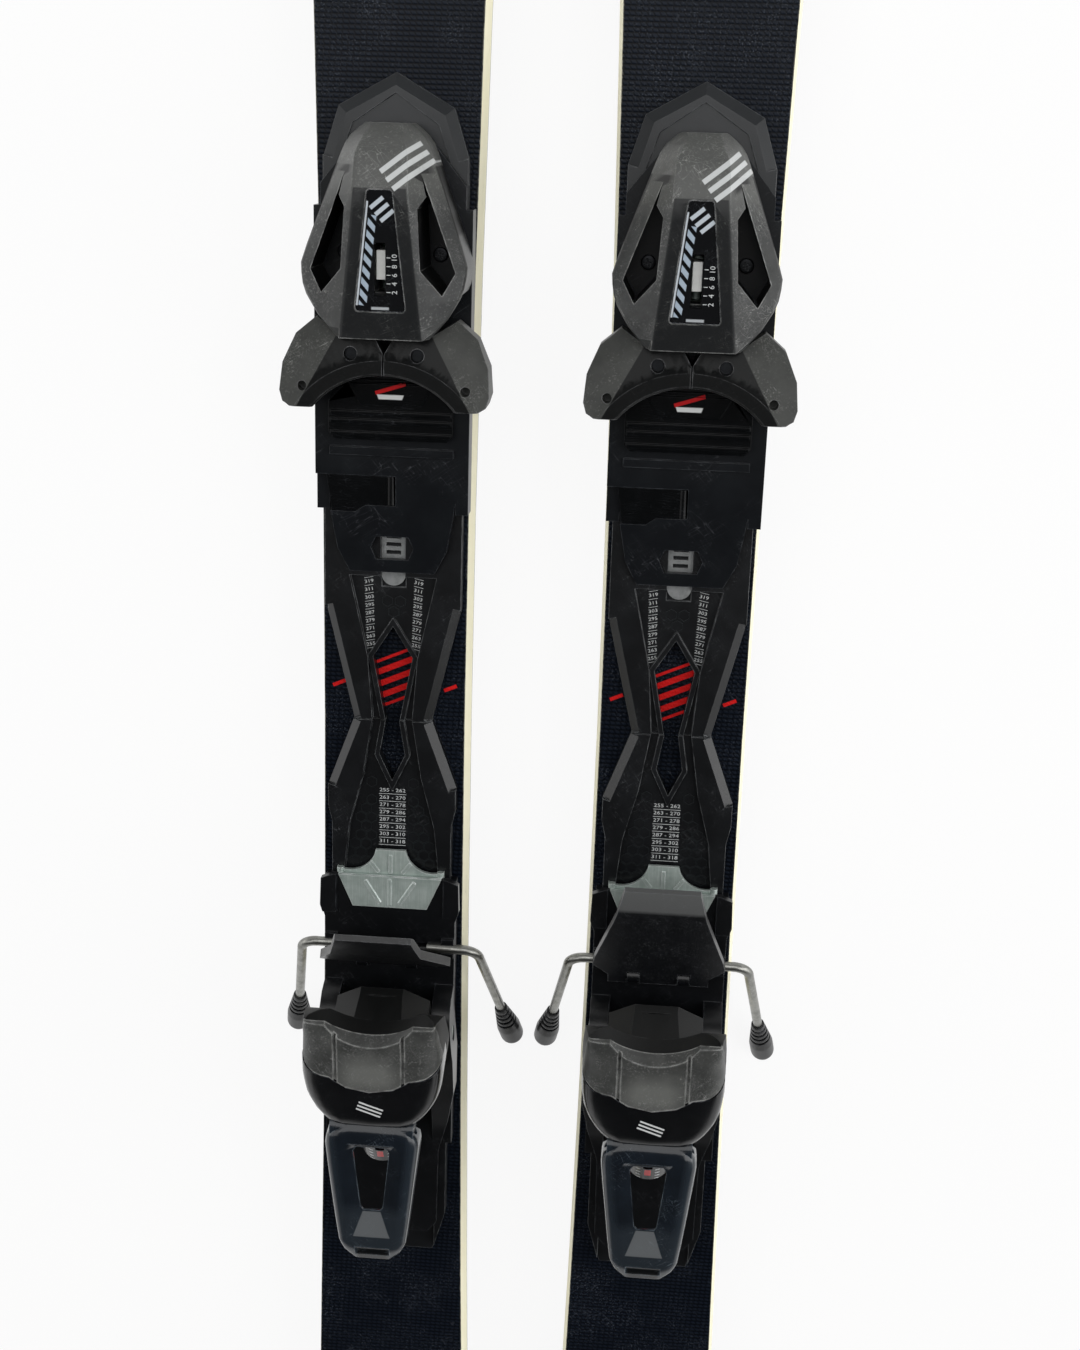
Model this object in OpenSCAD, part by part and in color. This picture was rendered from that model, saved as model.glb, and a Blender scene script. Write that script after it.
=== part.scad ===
// A pair of alpine skis with rail bindings, heels open and brakes down.
// Millimetres. x runs across the skis, y to the tips, z up.
// Binding sizes are given from mid-sole (y) and from the top sheet (z) of the ski that carries them.

/* [Skis] */
// Length of each ski from tip to tail
ski_length = 1680; // [1560:10:1800]
// Width of the shovel at its widest
tip_w = 122; // [112:1:130]
// Width at the waist, over the steel edges
waist_w = 76; // [72:1:84]
// Width of the tail at its widest
tail_w = 106; // [98:1:116]
// Thickness under the bindings
ski_t = 15; // [13:0.5:18]
// Thickness at the end of the tip
tip_t = 5; // [4:0.5:7]
// Thickness at the end of the tail
tail_t = 6; // [4.5:0.5:8]
// Rise of the tip above the running line
tip_rise = 52; // [40:1:65]
// Rise of the tail above the running line
tail_rise = 12; // [6:1:20]
// Camber height under the bindings
camber = 4; // [2:0.5:8]
// Thickness of the running base and of the steel edges
base_t = 1.8; // [1.2:0.1:2.4]
// Width of a steel edge
edge_w = 2.2; // [1.6:0.1:3]
// Width of a sidewall at its foot
sidewall_w = 6; // [5:0.5:8]
// How far a sidewall leans in by its upper edge
sidewall_lean = 2; // [0.5:0.25:3]
// Thickness of the top sheet
topsheet_t = 0.8; // [0.5:0.1:1.2]
// How far mid-sole lies behind the middle of the ski
boot_setback = 70; // [50:1:90]

/* [Boot] */
// Boot sole length that the bindings are set to
sole_length = 315; // [307:1:323]
// Radius of the boot's toe, seen from above
boot_toe_r = 45; // [43:0.5:47]
// Radius of the boot's heel, seen from above
boot_heel_r = 34; // [32:0.5:36]
// Thickness of the sole's toe ledge
toe_ledge_t = 19; // [18:0.5:20]
// Height of the sole's heel ledge above the treadle
heel_ledge_t = 30.5; // [29:0.5:32]

/* [Rails] */
// Width of the front rail plate
front_rail_w = 68; // [66:0.5:70]
// Width of the rear rail plate
rear_rail_w = 62; // [60:0.5:64]
// Height of the rail plates
rail_h = 8; // [7.5:0.5:9]
// Depth of the scale panels sunk in the rail plates
panel_d = 3; // [2:0.5:3.5]
// Depth of the slide groove in a rail's flank
groove_d = 2.4; // [1.8:0.1:3]
// Height of the slide groove
groove_h = 2.2; // [1.8:0.1:2.6]
// Width of the slotted racks
rack_w = 12; // [10:0.5:14]
// Thickness of the racks
rack_t = 2; // [1.5:0.25:2.5]
// Distance from one rack slot to the next
rack_pitch = 4; // [3.5:0.25:5]
// Radius of a rail screw's head
screw_head_r = 4.5; // [4:0.25:5]
// Radius of a rail screw's shank
screw_r = 2.75; // [2.25:0.25:3]

/* [Slides] */
// Running gap between a slide and its rail
slide_gap = 0.3; // [0.2:0.05:0.4]
// Thickness of the toe carriage's deck
carriage_t = 5.7; // [5:0.1:6.5]
// Thickness of the skirts that hang over the rails
skirt_t = 3; // [2.5:0.25:3.5]
// Thickness of the gliding sole plate
glide_t = 5.4; // [4.5:0.1:6]

/* [Toe piece] */
// Length of the housing, from its rear edge to its nose
housing_l = 94; // [90:1:98]
// Width of the housing over its two arms
housing_w = 77; // [74:1:80]
// Height of the housing's ridge above the top sheet
housing_h = 54; // [52:0.5:58]
// Width over both wings
wings_w = 98; // [95:1:101]
// Thickness of the wings' lip over the toe ledge
wing_lip_t = 3.8; // [3.4:0.2:5]
// How far the wings reach over the toe ledge
wing_lip_reach = 2; // [1:0.5:3]
// Radius of a wing pin
wing_pin_r = 3; // [2.5:0.25:3.5]
// Distance of a wing pin from the centre line
wing_pin_x = 15.5; // [14.5:0.5:17]
// Thickness of the clear release window
window_t = 1.5; // [1:0.25:2]
// Thickness of the sole-length latch
latch_t = 3; // [2.5:0.25:3.25]

/* [Heel piece] */
// How far the jaw is open
jaw_open = 30; // [24:1:32]
// Radius of the heel axle
axle_r = 4; // [3:0.25:4.5]
// Distance of the heel axle behind the boot's heel
axle_back = 33.5; // [32:0.5:35]
// Height of the heel axle above the top sheet
axle_z = 20.5; // [20:0.5:22]
// Width of the heel cup
cup_w = 73; // [70:1:76]
// Thickness of the steel anchor plate
plate_t = 2; // [1.5:0.25:2.25]
// Thickness of the heel base's floor
floor_t = 2.3; // [2:0.1:2.6]
// Width of the opening lever at its shoulders
lever_w = 49; // [46:1:52]
// Length of the opening lever behind its pin
lever_l = 79; // [74:1:84]
// Radius of the lever pin
lever_pin_r = 2.5; // [2:0.25:2.75]

/* [Springs and screws] */
// Mean radius of a release spring
spring_r = 7; // [6.5:0.25:7.25]
// Radius of the spring wire
spring_wire_r = 1.6; // [1.2:0.1:1.8]
// Turns of a release spring
spring_turns = 6; // [5:1:7]
// Radius of a release screw's shaft
release_r = 3; // [2.5:0.25:3.5]

/* [Brake] */
// Radius of the brake wire
wire_r = 2.5; // [2:0.25:2.5]
// Reach of a brake arm from its axis, seen from the side
arm_reach = 98; // [90:1:105]
// Angle of the arms below the ski
arm_down = 37; // [32:1:42]
// How far an arm spreads outward over its reach
arm_spread = 15; // [10:1:18]
// Clear space between the ski's edge and the root of an arm
arm_gap = 4; // [3:0.5:7]
// Radius of a brake tip
brake_tip_r = 6.5; // [5.5:0.5:7.5]
// Clear space between the brake tips of the two skis
brakes_gap = 6.3; // [2:0.1:40]
// Ribs round a brake tip
tip_ribs = 4; // [3:1:6]
// Length of a brake tip
brake_tip_l = 32; // [26:1:38]
// Length of the brake pedal ahead of its hinge
pedal_l = 58; // [54:1:62]
// Thickness of the brake pedal
pedal_t = 4.5; // [4:0.25:4.75]
// Tilt of the left ski's brake pedal
left_pedal_up = 59; // [30:1:62]
// Tilt of the right ski's brake pedal
right_pedal_up = 22; // [15:1:62]

/* [Hidden] */
$fn = 48;
// Points over half a turn of a moulding's section
arch_steps = 16;
// Width of the bevel along a moulding's crease, and how far along y the mouldings' lines are rounded off
crease = 1;
soft = 3;
lever_soft = 2;
// Squareness of the mouldings' arched sections
cup_squareness = 5;
lever_squareness = 6;
// Overshoot of a cut past the face that it opens
over = 1;
// Clearance of a seat that doesn't move, and of a pin that turns
seat = 0.05;
run = 0.05;
// Clearance between pieces that pass each other
pass = 0.3;

// Ski lines, from mid-sole along y and from the top sheet along z
tip_y = ski_length / 2 + boot_setback;
tail_y = boot_setback - ski_length / 2;
nose_l = 110;
heel_l = 30;
nose_blunt = 0.98;
tail_blunt = 0.45;
shovel_y = tip_y - nose_l;
stern_y = tail_y + heel_l;
waist_y = 17;
tip_turn_l = 190;
tail_turn_l = 60;
tip_contact_y = tip_y - tip_turn_l;
tail_contact_y = tail_y + tail_turn_l;
flat_front_y = 310;
flat_back_y = -360;

// Rail lines
rail_front_y = 289;
rail_seam_y = -23;
rail_back_y = -335;
seam_gap = 0.3;
panel_z = rail_h - panel_d;
groove_z = panel_z - groove_h;
rack_z = panel_z - 1;
rack_room = rack_w / 2 + seat;
seam_leg_x = 20;
tray_d = 1.2;
front_groove = [34, 251];
rear_groove = [-309, -81];
front_rack = [47, 245];
rear_rack = [-119, rail_back_y];
screw_head_h = 3;
screw_depth = 9;
front_screws = [[20, 246, rail_h], [20, 130, rail_h]];
rear_screws = [[18, -150, panel_z], [18, -305, panel_z]];

// Levels of the toe piece
toe_y = sole_length / 2;
slide_z = rail_h + slide_gap;
deck_top = slide_z + carriage_t;
glide_gap = 0.1;
stand_z = deck_top + glide_gap + glide_t;
lip_z = stand_z + toe_ledge_t + pass;
wing_top = lip_z + wing_lip_t;
wing_front_top = lip_z + 1.2;
wing_foot = stand_z + 0.8;
roof_z = wing_front_top + pass;
wing_pin_y = 7.5;
wing_back = -17.5;
wing_hub_r = wing_pin_r + 7;
wing_hole = [38, -8];
wing_hole_r = 2.2;
wing_hole_d = 5;
wing_hollow_r = 8;
wing_wall = 4;
pin_sunk = 2.5;
housing_back = 15.5;
housing_front = housing_back + housing_l;
block_back = 36;
tunnel_r = spring_r + spring_wire_r + 1;
tunnel_z = deck_top + tunnel_r + 3.4;
piston_r = tunnel_r - pass;
nose_y = housing_front - 13;
nose_w = 40;
wide_y = 48;
crown_y = 81.5;
housing_foot = housing_h - 21;
nut_back = 42;
nut_l = 13;
nut_front = nut_back + nut_l;
front_wall = housing_front - 14.5;
head_y = front_wall + 6;
head_r = release_r + 2;
drive_w = 1.4;
drive_d = 2;
head_l = 6;
collar_l = 4;
pointer_w = 4.4;
slot_room = 5;
window_corner = 1.6;
window_proud = 0.2;
window_dip = 4;
toe_skirt = [-72, 72];
ridge_y = -44;
ridge_l = 4;
ridge_h = 2;
ridge_half = 30;
slope_y = -50;
deck_slope = 3;
guide_y = -25;
guide_l = 8;
guide_d = 2;
guide_half = 26;
tongue_half = 20;
glide_ridges = [-23, -27, -33];
glide_ridge_w = 2;
glide_ridge_h = 1;
glide_ridge_half = 29;
latch_front = -54.5;
latch_back = -68.5;
latch_free_x = -32;
scallop_r = 2.2;
scallop_half = 4;
latch_hinge_x = -0.5;
latch_hinge_r = latch_t / 2 + 0.5;
latch_z = deck_top - 4.4;
latch_mid_z = latch_z + latch_hinge_r + 0.1;

// Levels of the heel piece
heel_y = -sole_length / 2;
plate_z = rail_h + 0.2;
plate_top = plate_z + plate_t;
floor_top = plate_top + floor_t;
wire_z = floor_top + 0.9;
wire_y = 11.5;
pedal_y = 6;
pedal_z = wire_z + wire_r + 0.7 + pedal_t / 2;
hinge_r = pedal_t / 2 - 0.1;
lug_x = 10;
lug_w = 6;
lug_wall = 1.7;
pedal_axle_half = 22;
nose_bevel = 13;
nose_pitch = 23;
nose_drop = 6.5;
pedal_nose_side = [[pedal_l, -nose_drop], [pedal_l, pedal_t / 2], [pedal_l - nose_bevel, pedal_t / 2],
    [pedal_l - nose_bevel, -pedal_t / 2], [pedal_l - 3, -nose_drop]];
hub_r = axle_z - floor_top - pass;
treadle_top = axle_z + 1.5;
heel_lip_z = treadle_top + heel_ledge_t;
heel_skirt = [-105, 48];
corner_x = 28;
corner_y = 29;
corner_h = 4.2;
wire_block = [27.5, 6.5, 11];
axle_half = 35;
cheek_in = 24.5;
jaw_in = cheek_in - pass;
cup_z = axle_z + 16;
heel_lip_r = boot_heel_r - 5;
heel_lip_reach = 13;
horn_y = 23;
seam_y = -14.5;
seam_half = [[0, -11], [12, -9], [20, -4.5], [28, -4], [38, -1.5], [cup_w, -1.5], [cup_w, -cup_w]];
reveal = 0.3;
shell_front = 0;
shell_back = -46;
crown_slope = 26;
cup_groove_x = 17;
cup_groove_w = 1.6;
cup_groove_d = 1.2;
cup_dish = [27.5, 2];
dish_r = 20;
dish_d = 1.2;
barrel_r = tunnel_r + 2.4;
barrel_z = heel_lip_z + 4.7;
barrel_back = -86;
barrel_room = barrel_r + 2;
barrel_room_y = [-120, -60];
shell_low = barrel_z - barrel_r - 1;
bore_front = -18;
plunger_back = bore_front - 8;
boss_h = 14;
heel_nut_back = barrel_back + 16;
pointer_half = 7.7;
plate_front = 64;
plate_wide = 28;
flare_r = 14;
hook_r = 1.8;
hook = [50.8, 53.4];
rib_y = 51.2;
rib_l = 10;
side_rib = [5.5, 7, 38];
rib_w = 1.8;
rib_h = 0.6;
lever_pin_y = seam_y - 26;
lever_pin_z = barrel_z + 16.7;
boss_r = lever_pin_r + 2;
ear_r = lever_pin_r + 4;
ear_in = 13.5;
ear_out = 21.5;
lever_front = 4.5;
lever_face_z = 9;
lever_face_pitch = 4.2;
lever_dip = 2;
notch_y = 5 - lever_l;
notch_z = 4.6;
notch_r = 4.2;
notch_half = 9;
lever_arm = [lever_pin_y + axle_back, lever_pin_z - axle_z];
lever_rest = [-axle_back + lever_arm[0] * cos(jaw_open) - lever_arm[1] * sin(jaw_open),
    axle_z + lever_arm[0] * sin(jaw_open) + lever_arm[1] * cos(jaw_open)];

// Brake arms spring from beside the ski's edge and stand the pair on their tips
arm_x = half_width(heel_y + wire_y - arm_reach * cos(arm_down)) + arm_gap + wire_r;
deck_z = arm_reach * sin(arm_down) - wire_z + brake_tip_r;
ski_spacing = 2 * (arm_x + arm_spread + brake_tip_r) + brakes_gap;
brake_tip_neck = wire_r + 1;
tip_rib_pitch = brake_tip_l * 0.12;
arm_l = norm([arm_spread, arm_reach]);
bend_r = 9;
bend_swell = 0.05;
bend_lap = 0.5;
bend_turn = acos(arm_spread / arm_l);
bend_l = bend_r * tan(bend_turn / 2);

// Outlines, right half, from mid-sole or from the boot's toe or heel
front_rail_half = [[0, rail_front_y], [27, 274], [front_rail_w / 2, 252], [front_rail_w / 2, 36],
    [seam_leg_x, rail_seam_y]];
rear_rail_half = [[seam_leg_x, rail_seam_y - seam_gap], [rear_rail_w / 2 + 2, -59],
    [rear_rail_w / 2 + 2, -71], [rear_rail_w / 2, -80], [rear_rail_w / 2, -310], [24, rail_back_y]];
front_panel_half = [[21.7, 52], [12.5, 10], [10, rail_seam_y - over]];
rear_panel_half = [[10, rail_seam_y + over], [15, -54], [22, -81], [25, -111], [25, rail_back_y - over]];
front_tray_half = [[0, 280], [20, 266.5], [27, 246], [27, 225]];
diamond_half = [[0, 26], [10, 10], [3.5, rail_seam_y - 1], [6.5, -42], [0, -56]];
diamond_rim = 2.5;
carriage_half = [[14, housing_front - 3.5], [20, housing_front - 10], [front_rail_w / 2, 82],
    [front_rail_w / 2, -46], [30, -74], [27, -91], [21, -102.5]];
arm_opening = [[17, 88.5], [19.5, 78.5], [16.3, 73.5], [18, 46.5], [27.5, 35.5], [33, 45.5]];
window_half = [[5.6, 81.5], [11.6, 28]];
wing_half = [[pass, wing_back], [pass, 8], [4.5, housing_back - pass], [20, housing_back - pass], [33, 23],
    [42.5, 15], [wings_w / 2 - 1, 2], [wings_w / 2, -10.5], [wings_w / 2 - 1.5, -15.5],
    [wings_w / 2 - 5, wing_back]];
wing_section = [[boot_toe_r - wing_lip_reach, wing_foot], [boot_toe_r - wing_lip_reach, wing_top - 1],
    [boot_toe_r - wing_lip_reach + 1, wing_top], [boot_toe_r + 5, wing_top],
    [boot_toe_r + 9, wing_front_top], [boot_toe_r + 15, wing_front_top - 1],
    [boot_toe_r + 22, wing_front_top - 4], [boot_toe_r + 30, wing_front_top - 10],
    [boot_toe_r + 34, wing_foot]];
glide_half = [[18, -7], [28, -14], [30, -18], [30, -33], [27, -36]];
glide_pad_half = [[20, -9], [14.5, -19]];
latch_outline = [[latch_free_x, latch_front], [1.5, latch_front], [1.5, latch_back], [-13, latch_back],
    [-18, latch_back - 3.5], [-29.5, latch_back - 3.5]];
rack_view_half = [[8, -84.5], [10.5, -90], [8, -96]];
plate_half = [[pointer_half, plate_front], [plate_wide, plate_front], [plate_wide, 44], [24, 40],
    [24, -150]];
floor_half = [[30, 50.5], [cup_w / 2 - 0.5, 48], [cup_w / 2, 33],
    [rear_rail_w / 2 + slide_gap + skirt_t, 26], [rear_rail_w / 2 + slide_gap + skirt_t, -20],
    [cup_w / 2, -45], [cup_w / 2, -68], [33, -88], [27.5, -110], [27, -155], [22, -161.5]];
cheek_side = [[-9, plate_top], [-13, 22], [-20, 29], [-28, axle_z + 11.5], [-40, axle_z + 11.5],
    [-60, 26], [-90, 18], [-112, plate_top]];
pedal_half = [[19, pedal_l], [23, pedal_l - 14], [33, 14], [34, 9], [26, 2], [26, -3.5]];
treadle_half = [[11, 1], [jaw_in, -9], [jaw_in, -axle_back - hub_r]];
lever_window_half = [[7.5, -8.5], [9.3, -11], [5.8, -45], [4.5, -47]];
lever_rim_half = [[15, -4.5], [18.5, -12], [11.5, -63], [9, -67]];
lever_hollow_half = [[ear_in, 10], [ear_in, -6], [lever_w / 2 - 5, -12], [13.5, 14 - lever_l]];
lever_hollow_side = [[10, -20], [10, boss_r + pass], [0, boss_r + pass], [-10, 5.2], [-45, 2.6],
    [-lever_l, -1], [-lever_l, -20]];

// Outlines seen from the side as (y, z)
window_pitch = atan(3 / (window_half[0][1] - window_half[1][1]));
web_side = [[1, treadle_top - 4.5], [1, treadle_top], [0, cup_z + over], [seam_y, cup_z + over],
    [-axle_back - hub_r / 2, axle_z + 6], [-axle_back, axle_z - hub_r / 2]];

// Stations along the ski, closest together where the outline turns
stations = concat([for (a = [90 : -30 : 30]) stern_y - heel_l * sin(a)], [stern_y],
    span(stern_y, flat_back_y, 5), span(flat_back_y, flat_front_y, 6), span(flat_front_y, shovel_y, 7),
    [for (a = [15 : 15 : 90]) shovel_y + nose_l * sin(a)]);

// Lines of the housing along y: its sides, its shoulders, the flat panel on top and the ridge
housing_half_keys = [[housing_back, 20.5], [22, 28], [36, housing_w / 2 - 2], [wide_y, housing_w / 2],
    [nose_y, nose_w / 2 + 1], [nose_y + 7, nose_w / 2 - 2], [nose_y + 11, 13.5], [housing_front, 9]];
housing_shoulder_keys = [[block_back, roof_z + 3], [wide_y, roof_z], [nose_y, housing_foot],
    [housing_front, housing_foot - 4]];
housing_panel_keys = [[housing_back, 18.2], [crown_y, 11.5], [nose_y, 11], [housing_front, 6]];
housing_top_keys = [[housing_back, housing_h - window_dip], [crown_y, housing_h], [nose_y, housing_h - 3],
    [nose_y + 8, housing_h - 10], [housing_front, housing_foot + 2]];
housing_stations = concat([housing_back], span(housing_back, wide_y, 7), span(wide_y, nose_y, 6),
    [for (a = [18 : 18 : 90]) nose_y + (housing_front - nose_y) * sin(a)]);

// Lines of the jaw along y, which the cup and the shell share
jaw_top_keys = [[shell_back, barrel_z + barrel_r - 1], [-36, heel_lip_z + 26], [-30, heel_lip_z + 26.5],
    [seam_y, heel_lip_z + 20.5], [-9, heel_lip_z + 18.5], [8, heel_lip_z + 9.5],
    [horn_y - 5, heel_lip_z + 6.5], [horn_y, heel_lip_z + 2]];
cup_half_keys = [[seam_y, cup_w / 2 - 0.5], [-8, cup_w / 2], [horn_y - 6, cup_w / 2 - 2],
    [horn_y, cup_w / 2 - 4]];
cup_foot_keys = [[10, cup_z], [horn_y - 2, heel_lip_z - 4], [horn_y, heel_lip_z]];
cup_stations = concat([seam_y], span(seam_y, horn_y - 5, 7), span(horn_y - 5, horn_y, 3));
shell_stations = concat([shell_back], span(shell_back, seam_y, 8), span(seam_y, shell_front, 3));

// The lever is widest behind its pin and tapers to the end that the pole presses
lever_half_keys = [[-lever_l, 9], [4 - lever_l, 14.5], [12 - lever_l, 18], [-9, lever_w / 2],
    [-2, lever_w / 2 - 1], [lever_front, 15]];
lever_top_keys = [[-lever_l, -0.5], [8 - lever_l, 3.5], [-45, 6.5], [-10, 8.6], [1, 8], [lever_front, 4.5]];
lever_low_keys = [[-lever_l, -3], [6 - lever_l, -5], [-12, -5], [-4, -6.5], [lever_front, 1.5]];
lever_stations = concat([-lever_l], span(-lever_l, 12 - lever_l, 4), span(12 - lever_l, -9, 5),
    span(-9, lever_front, 5));

lever_room_side = [[lever_front + pass, 0], [lever_front + pass, 40], [-100, 40], [-100, -45], [-20, -17],
    [-6, -7 - pass]];

SKI_NODES = ["running_bases", "steel_edges", "cores", "sidewalls", "topsheets", "rail_plates", "racks",
    "rail_screws"];
BINDING_NODES = ["toe_carriage", "toe_housing", "toe_window", "toe_spring", "toe_spring_nut",
    "toe_plunger", "toe_release_screw", "left_wing", "right_wing", "wing_pins", "glide_plate",
    "toe_latch", "anchor_plate", "heel_base", "heel_axle", "heel_jaw", "heel_housing", "heel_spring",
    "heel_spring_nut", "heel_plunger", "heel_release_screw", "opening_lever", "lever_pin",
    "brake_arms", "brake_tips", "brake_pedal"];

// Helpers

// Full outline from its right half
function mirrored(half) = concat(half,
    [for (i = [len(half) - 1 : -1 : 0]) if (half[i][0] > 0) [-half[i][0], half[i][1]]]);

// Places a binding's pieces on the left (-1) or right (1) ski
module on_ski(side) translate([side * ski_spacing / 2, -boot_setback, deck_z]) children();

module at_toe(side) on_ski(side) translate([0, toe_y, 0]) children();

module at_heel(side) on_ski(side) translate([0, heel_y, 0]) children();

// Swings the closed jaw's pieces to where the open jaw holds them
module opened(side) at_heel(side)
    translate([0, -axle_back, axle_z]) rotate([jaw_open, 0, 0]) translate([0, axle_back, -axle_z])
        children();

module each_ski() for (side = [-1, 1]) on_ski(side) children();

module both_sides() {
    children();
    mirror([1, 0, 0]) children();
}

// Plate of an outline between two levels
module plate(outline, low, high) translate([0, 0, low]) linear_extrude(high - low) polygon(outline);

// Side profile, given as (y, z), drawn out to half a width on each side
module across(profile, half_w) rotate([90, 0, 90]) translate([0, 0, -half_w])
    linear_extrude(2 * half_w) polygon(profile);

// Bar of a radius along x, and along y, from one end to the other
module rod_x(r, from, to) translate([from, 0, 0]) rotate([0, 90, 0]) cylinder(r = r, h = to - from);

module rod_y(r, from, to) translate([0, from, 0]) rotate([-90, 0, 0]) cylinder(r = r, h = to - from);

// Cutter that takes a bevel off a top edge, with the body on the left of the way from p to q
module edge_bevel(p, q, top, inset, drop) {
    d = q - p;
    translate([p[0], p[1], top]) rotate([0, 0, atan2(d[1], d[0])]) rotate([90, 0, 90])
        linear_extrude(norm(d)) polygon([[-over, -drop - over * drop / inset],
            [inset + over, over * drop / inset], [-over, over]]);
}

// Solid through a row of rings that all have the same number of points
module loft(rings) {
    n = len(rings[0]);
    last = (len(rings) - 1) * n;
    polyhedron(points = [for (ring = rings) each ring], faces = concat(
        [[for (j = [0 : n - 1]) j]],
        [for (i = [0 : n : last - n]) for (j = [0 : n - 1]) each
            let (k = (j + 1) % n) [[i + j, i + n + j, i + n + k], [i + j, i + n + k, i + k]]],
        [[for (j = [n - 1 : -1 : 0]) last + j]]));
}

// Level ring of an outline's right half and its mirror image
function flat_ring(half, level) = [for (spot = mirrored(half)) [spot[0], spot[1], level]];

// Section of a moulding across x, from its left foot over its crown to its right foot
function arch(y, half_w, low, high, squareness) = [for (i = [0 : arch_steps])
    let (a = 180 * i / arch_steps, c = -cos(a))
    [half_w * sign(c) * pow(abs(c), 2 / squareness), y, low + (high - low) * pow(sin(a), 2 / squareness)]];

// Section of a creased moulding: upright sides, sloping shoulders and a flat panel
function creased(y, half_w, low, shoulder, panel, high) = concat([[-half_w, y, low],
    [-half_w, y, shoulder - crease], [-half_w + crease, y, shoulder + crease / 2],
    [-panel - crease, y, high - crease / 2], [-panel + crease, y, high]],
    [[panel - crease, y, high], [panel + crease, y, high - crease / 2],
    [half_w - crease, y, shoulder + crease / 2], [half_w, y, shoulder - crease], [half_w, y, low]]);

// Height or width at y on a run of straight lines through key points, with their corners rounded off
function eased(y, keys, reach) =
    (lookup(y - reach, keys) + 2 * lookup(y, keys) + lookup(y + reach, keys)) / 4;

// Ski shape

function span(from, to, steps) = [for (i = [1 : steps]) from + (to - from) * i / steps];

function between(low, high, t) = low + (high - low) * t;

// Half the ski's width over the edges: two arcs of sidecut, a round nose and a blunt tail
function half_width(y) = y > shovel_y ? tip_w / 2 * sqrt(1 - nose_blunt * pow((y - shovel_y) / nose_l, 2))
    : y < stern_y ? tail_w / 2 * sqrt(1 - tail_blunt * pow((stern_y - y) / heel_l, 2))
    : y > waist_y ? waist_w / 2 + (tip_w - waist_w) / 2 * pow((y - waist_y) / (shovel_y - waist_y), 2)
    : waist_w / 2 + (tail_w - waist_w) / 2 * pow((waist_y - y) / (waist_y - stern_y), 2);

// Level of the running base: flat under the bindings, down to the contact lines, up at the ends
function sole_level(y) = -ski_t
    + (y > tip_contact_y ? -camber + tip_rise * pow((y - tip_contact_y) / (tip_y - tip_contact_y), 2)
    : y > flat_front_y ? -camber * (1 - cos(180 * (y - flat_front_y) / (tip_contact_y - flat_front_y))) / 2
    : y < tail_contact_y ? -camber + tail_rise * pow((tail_contact_y - y) / (tail_contact_y - tail_y), 2)
    : y < flat_back_y ? -camber * (1 - cos(180 * (flat_back_y - y) / (flat_back_y - tail_contact_y))) / 2
    : 0);

function thickness(y) = y > flat_front_y ? between(ski_t, tip_t, (y - flat_front_y) / (tip_y - flat_front_y))
    : y < flat_back_y ? between(ski_t, tail_t, (flat_back_y - y) / (flat_back_y - tail_y))
    : ski_t;

function core_low(y) = sole_level(y) + base_t;

function core_high(y) = sole_level(y) + thickness(y) - topsheet_t;

// Four-sided ring of a layer, from its feet to its upper edge
function ring(y, left, right, low, high, left_top, right_top) =
    [[left, y, low], [left_top, y, high], [right_top, y, high], [right, y, low]];

function band(y, left, right, low, high) = ring(y, left, right, low, high, left, right);

module screw_holes(r, low, high) both_sides() for (spot = concat(front_screws, rear_screws))
    translate([spot[0], spot[1], low]) cylinder(r = r, h = high - low);

module running_bases() color("#1d2024") each_ski()
    loft([for (y = stations) let (w = half_width(y) - edge_w)
        band(y, -w, w, sole_level(y), core_low(y))]);

module steel_edges() color("#a9adb2") each_ski() both_sides()
    loft([for (y = stations) let (w = half_width(y))
        band(y, w - edge_w, w, sole_level(y), core_low(y))]);

module cores() color("#c9a66b") each_ski() difference() {
    loft([for (y = stations) let (w = half_width(y) - sidewall_w)
        band(y, -w, w, core_low(y), core_high(y))]);
    screw_holes(screw_r + seat, -screw_depth - seat, over);
}

module sidewalls() color("#e9e2b4") each_ski() both_sides()
    loft([for (y = stations) let (w = half_width(y))
        ring(y, w - sidewall_w, w, core_low(y), core_high(y), w - sidewall_w, w - sidewall_lean)]);

module topsheets() color("#14161d") each_ski() difference() {
    loft([for (y = stations) let (w = half_width(y) - sidewall_lean)
        band(y, -w, w, core_high(y), core_high(y) + topsheet_t)]);
    screw_holes(screw_r + seat, -topsheet_t - over, over);
}

// Rails and racks

module rail_screw(spot) translate([spot[0], spot[1], 0]) {
    translate([0, 0, spot[2] - screw_head_h]) cylinder(r = screw_head_r, h = screw_head_h);
    translate([0, 0, -screw_depth]) cylinder(r = screw_r, h = screw_depth + spot[2] - screw_head_h / 2);
}

module rail_screw_room(spot) translate([spot[0], spot[1], 0]) {
    translate([0, 0, spot[2] - screw_head_h]) cylinder(r = screw_head_r + seat, h = screw_head_h + over);
    translate([0, 0, -over]) cylinder(r = screw_r + seat, h = rail_h);
}

module flank_groove(rail_w, back, front)
    translate([rail_w / 2 - groove_d, back, groove_z]) cube([groove_d + over, front - back, groove_h]);

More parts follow.
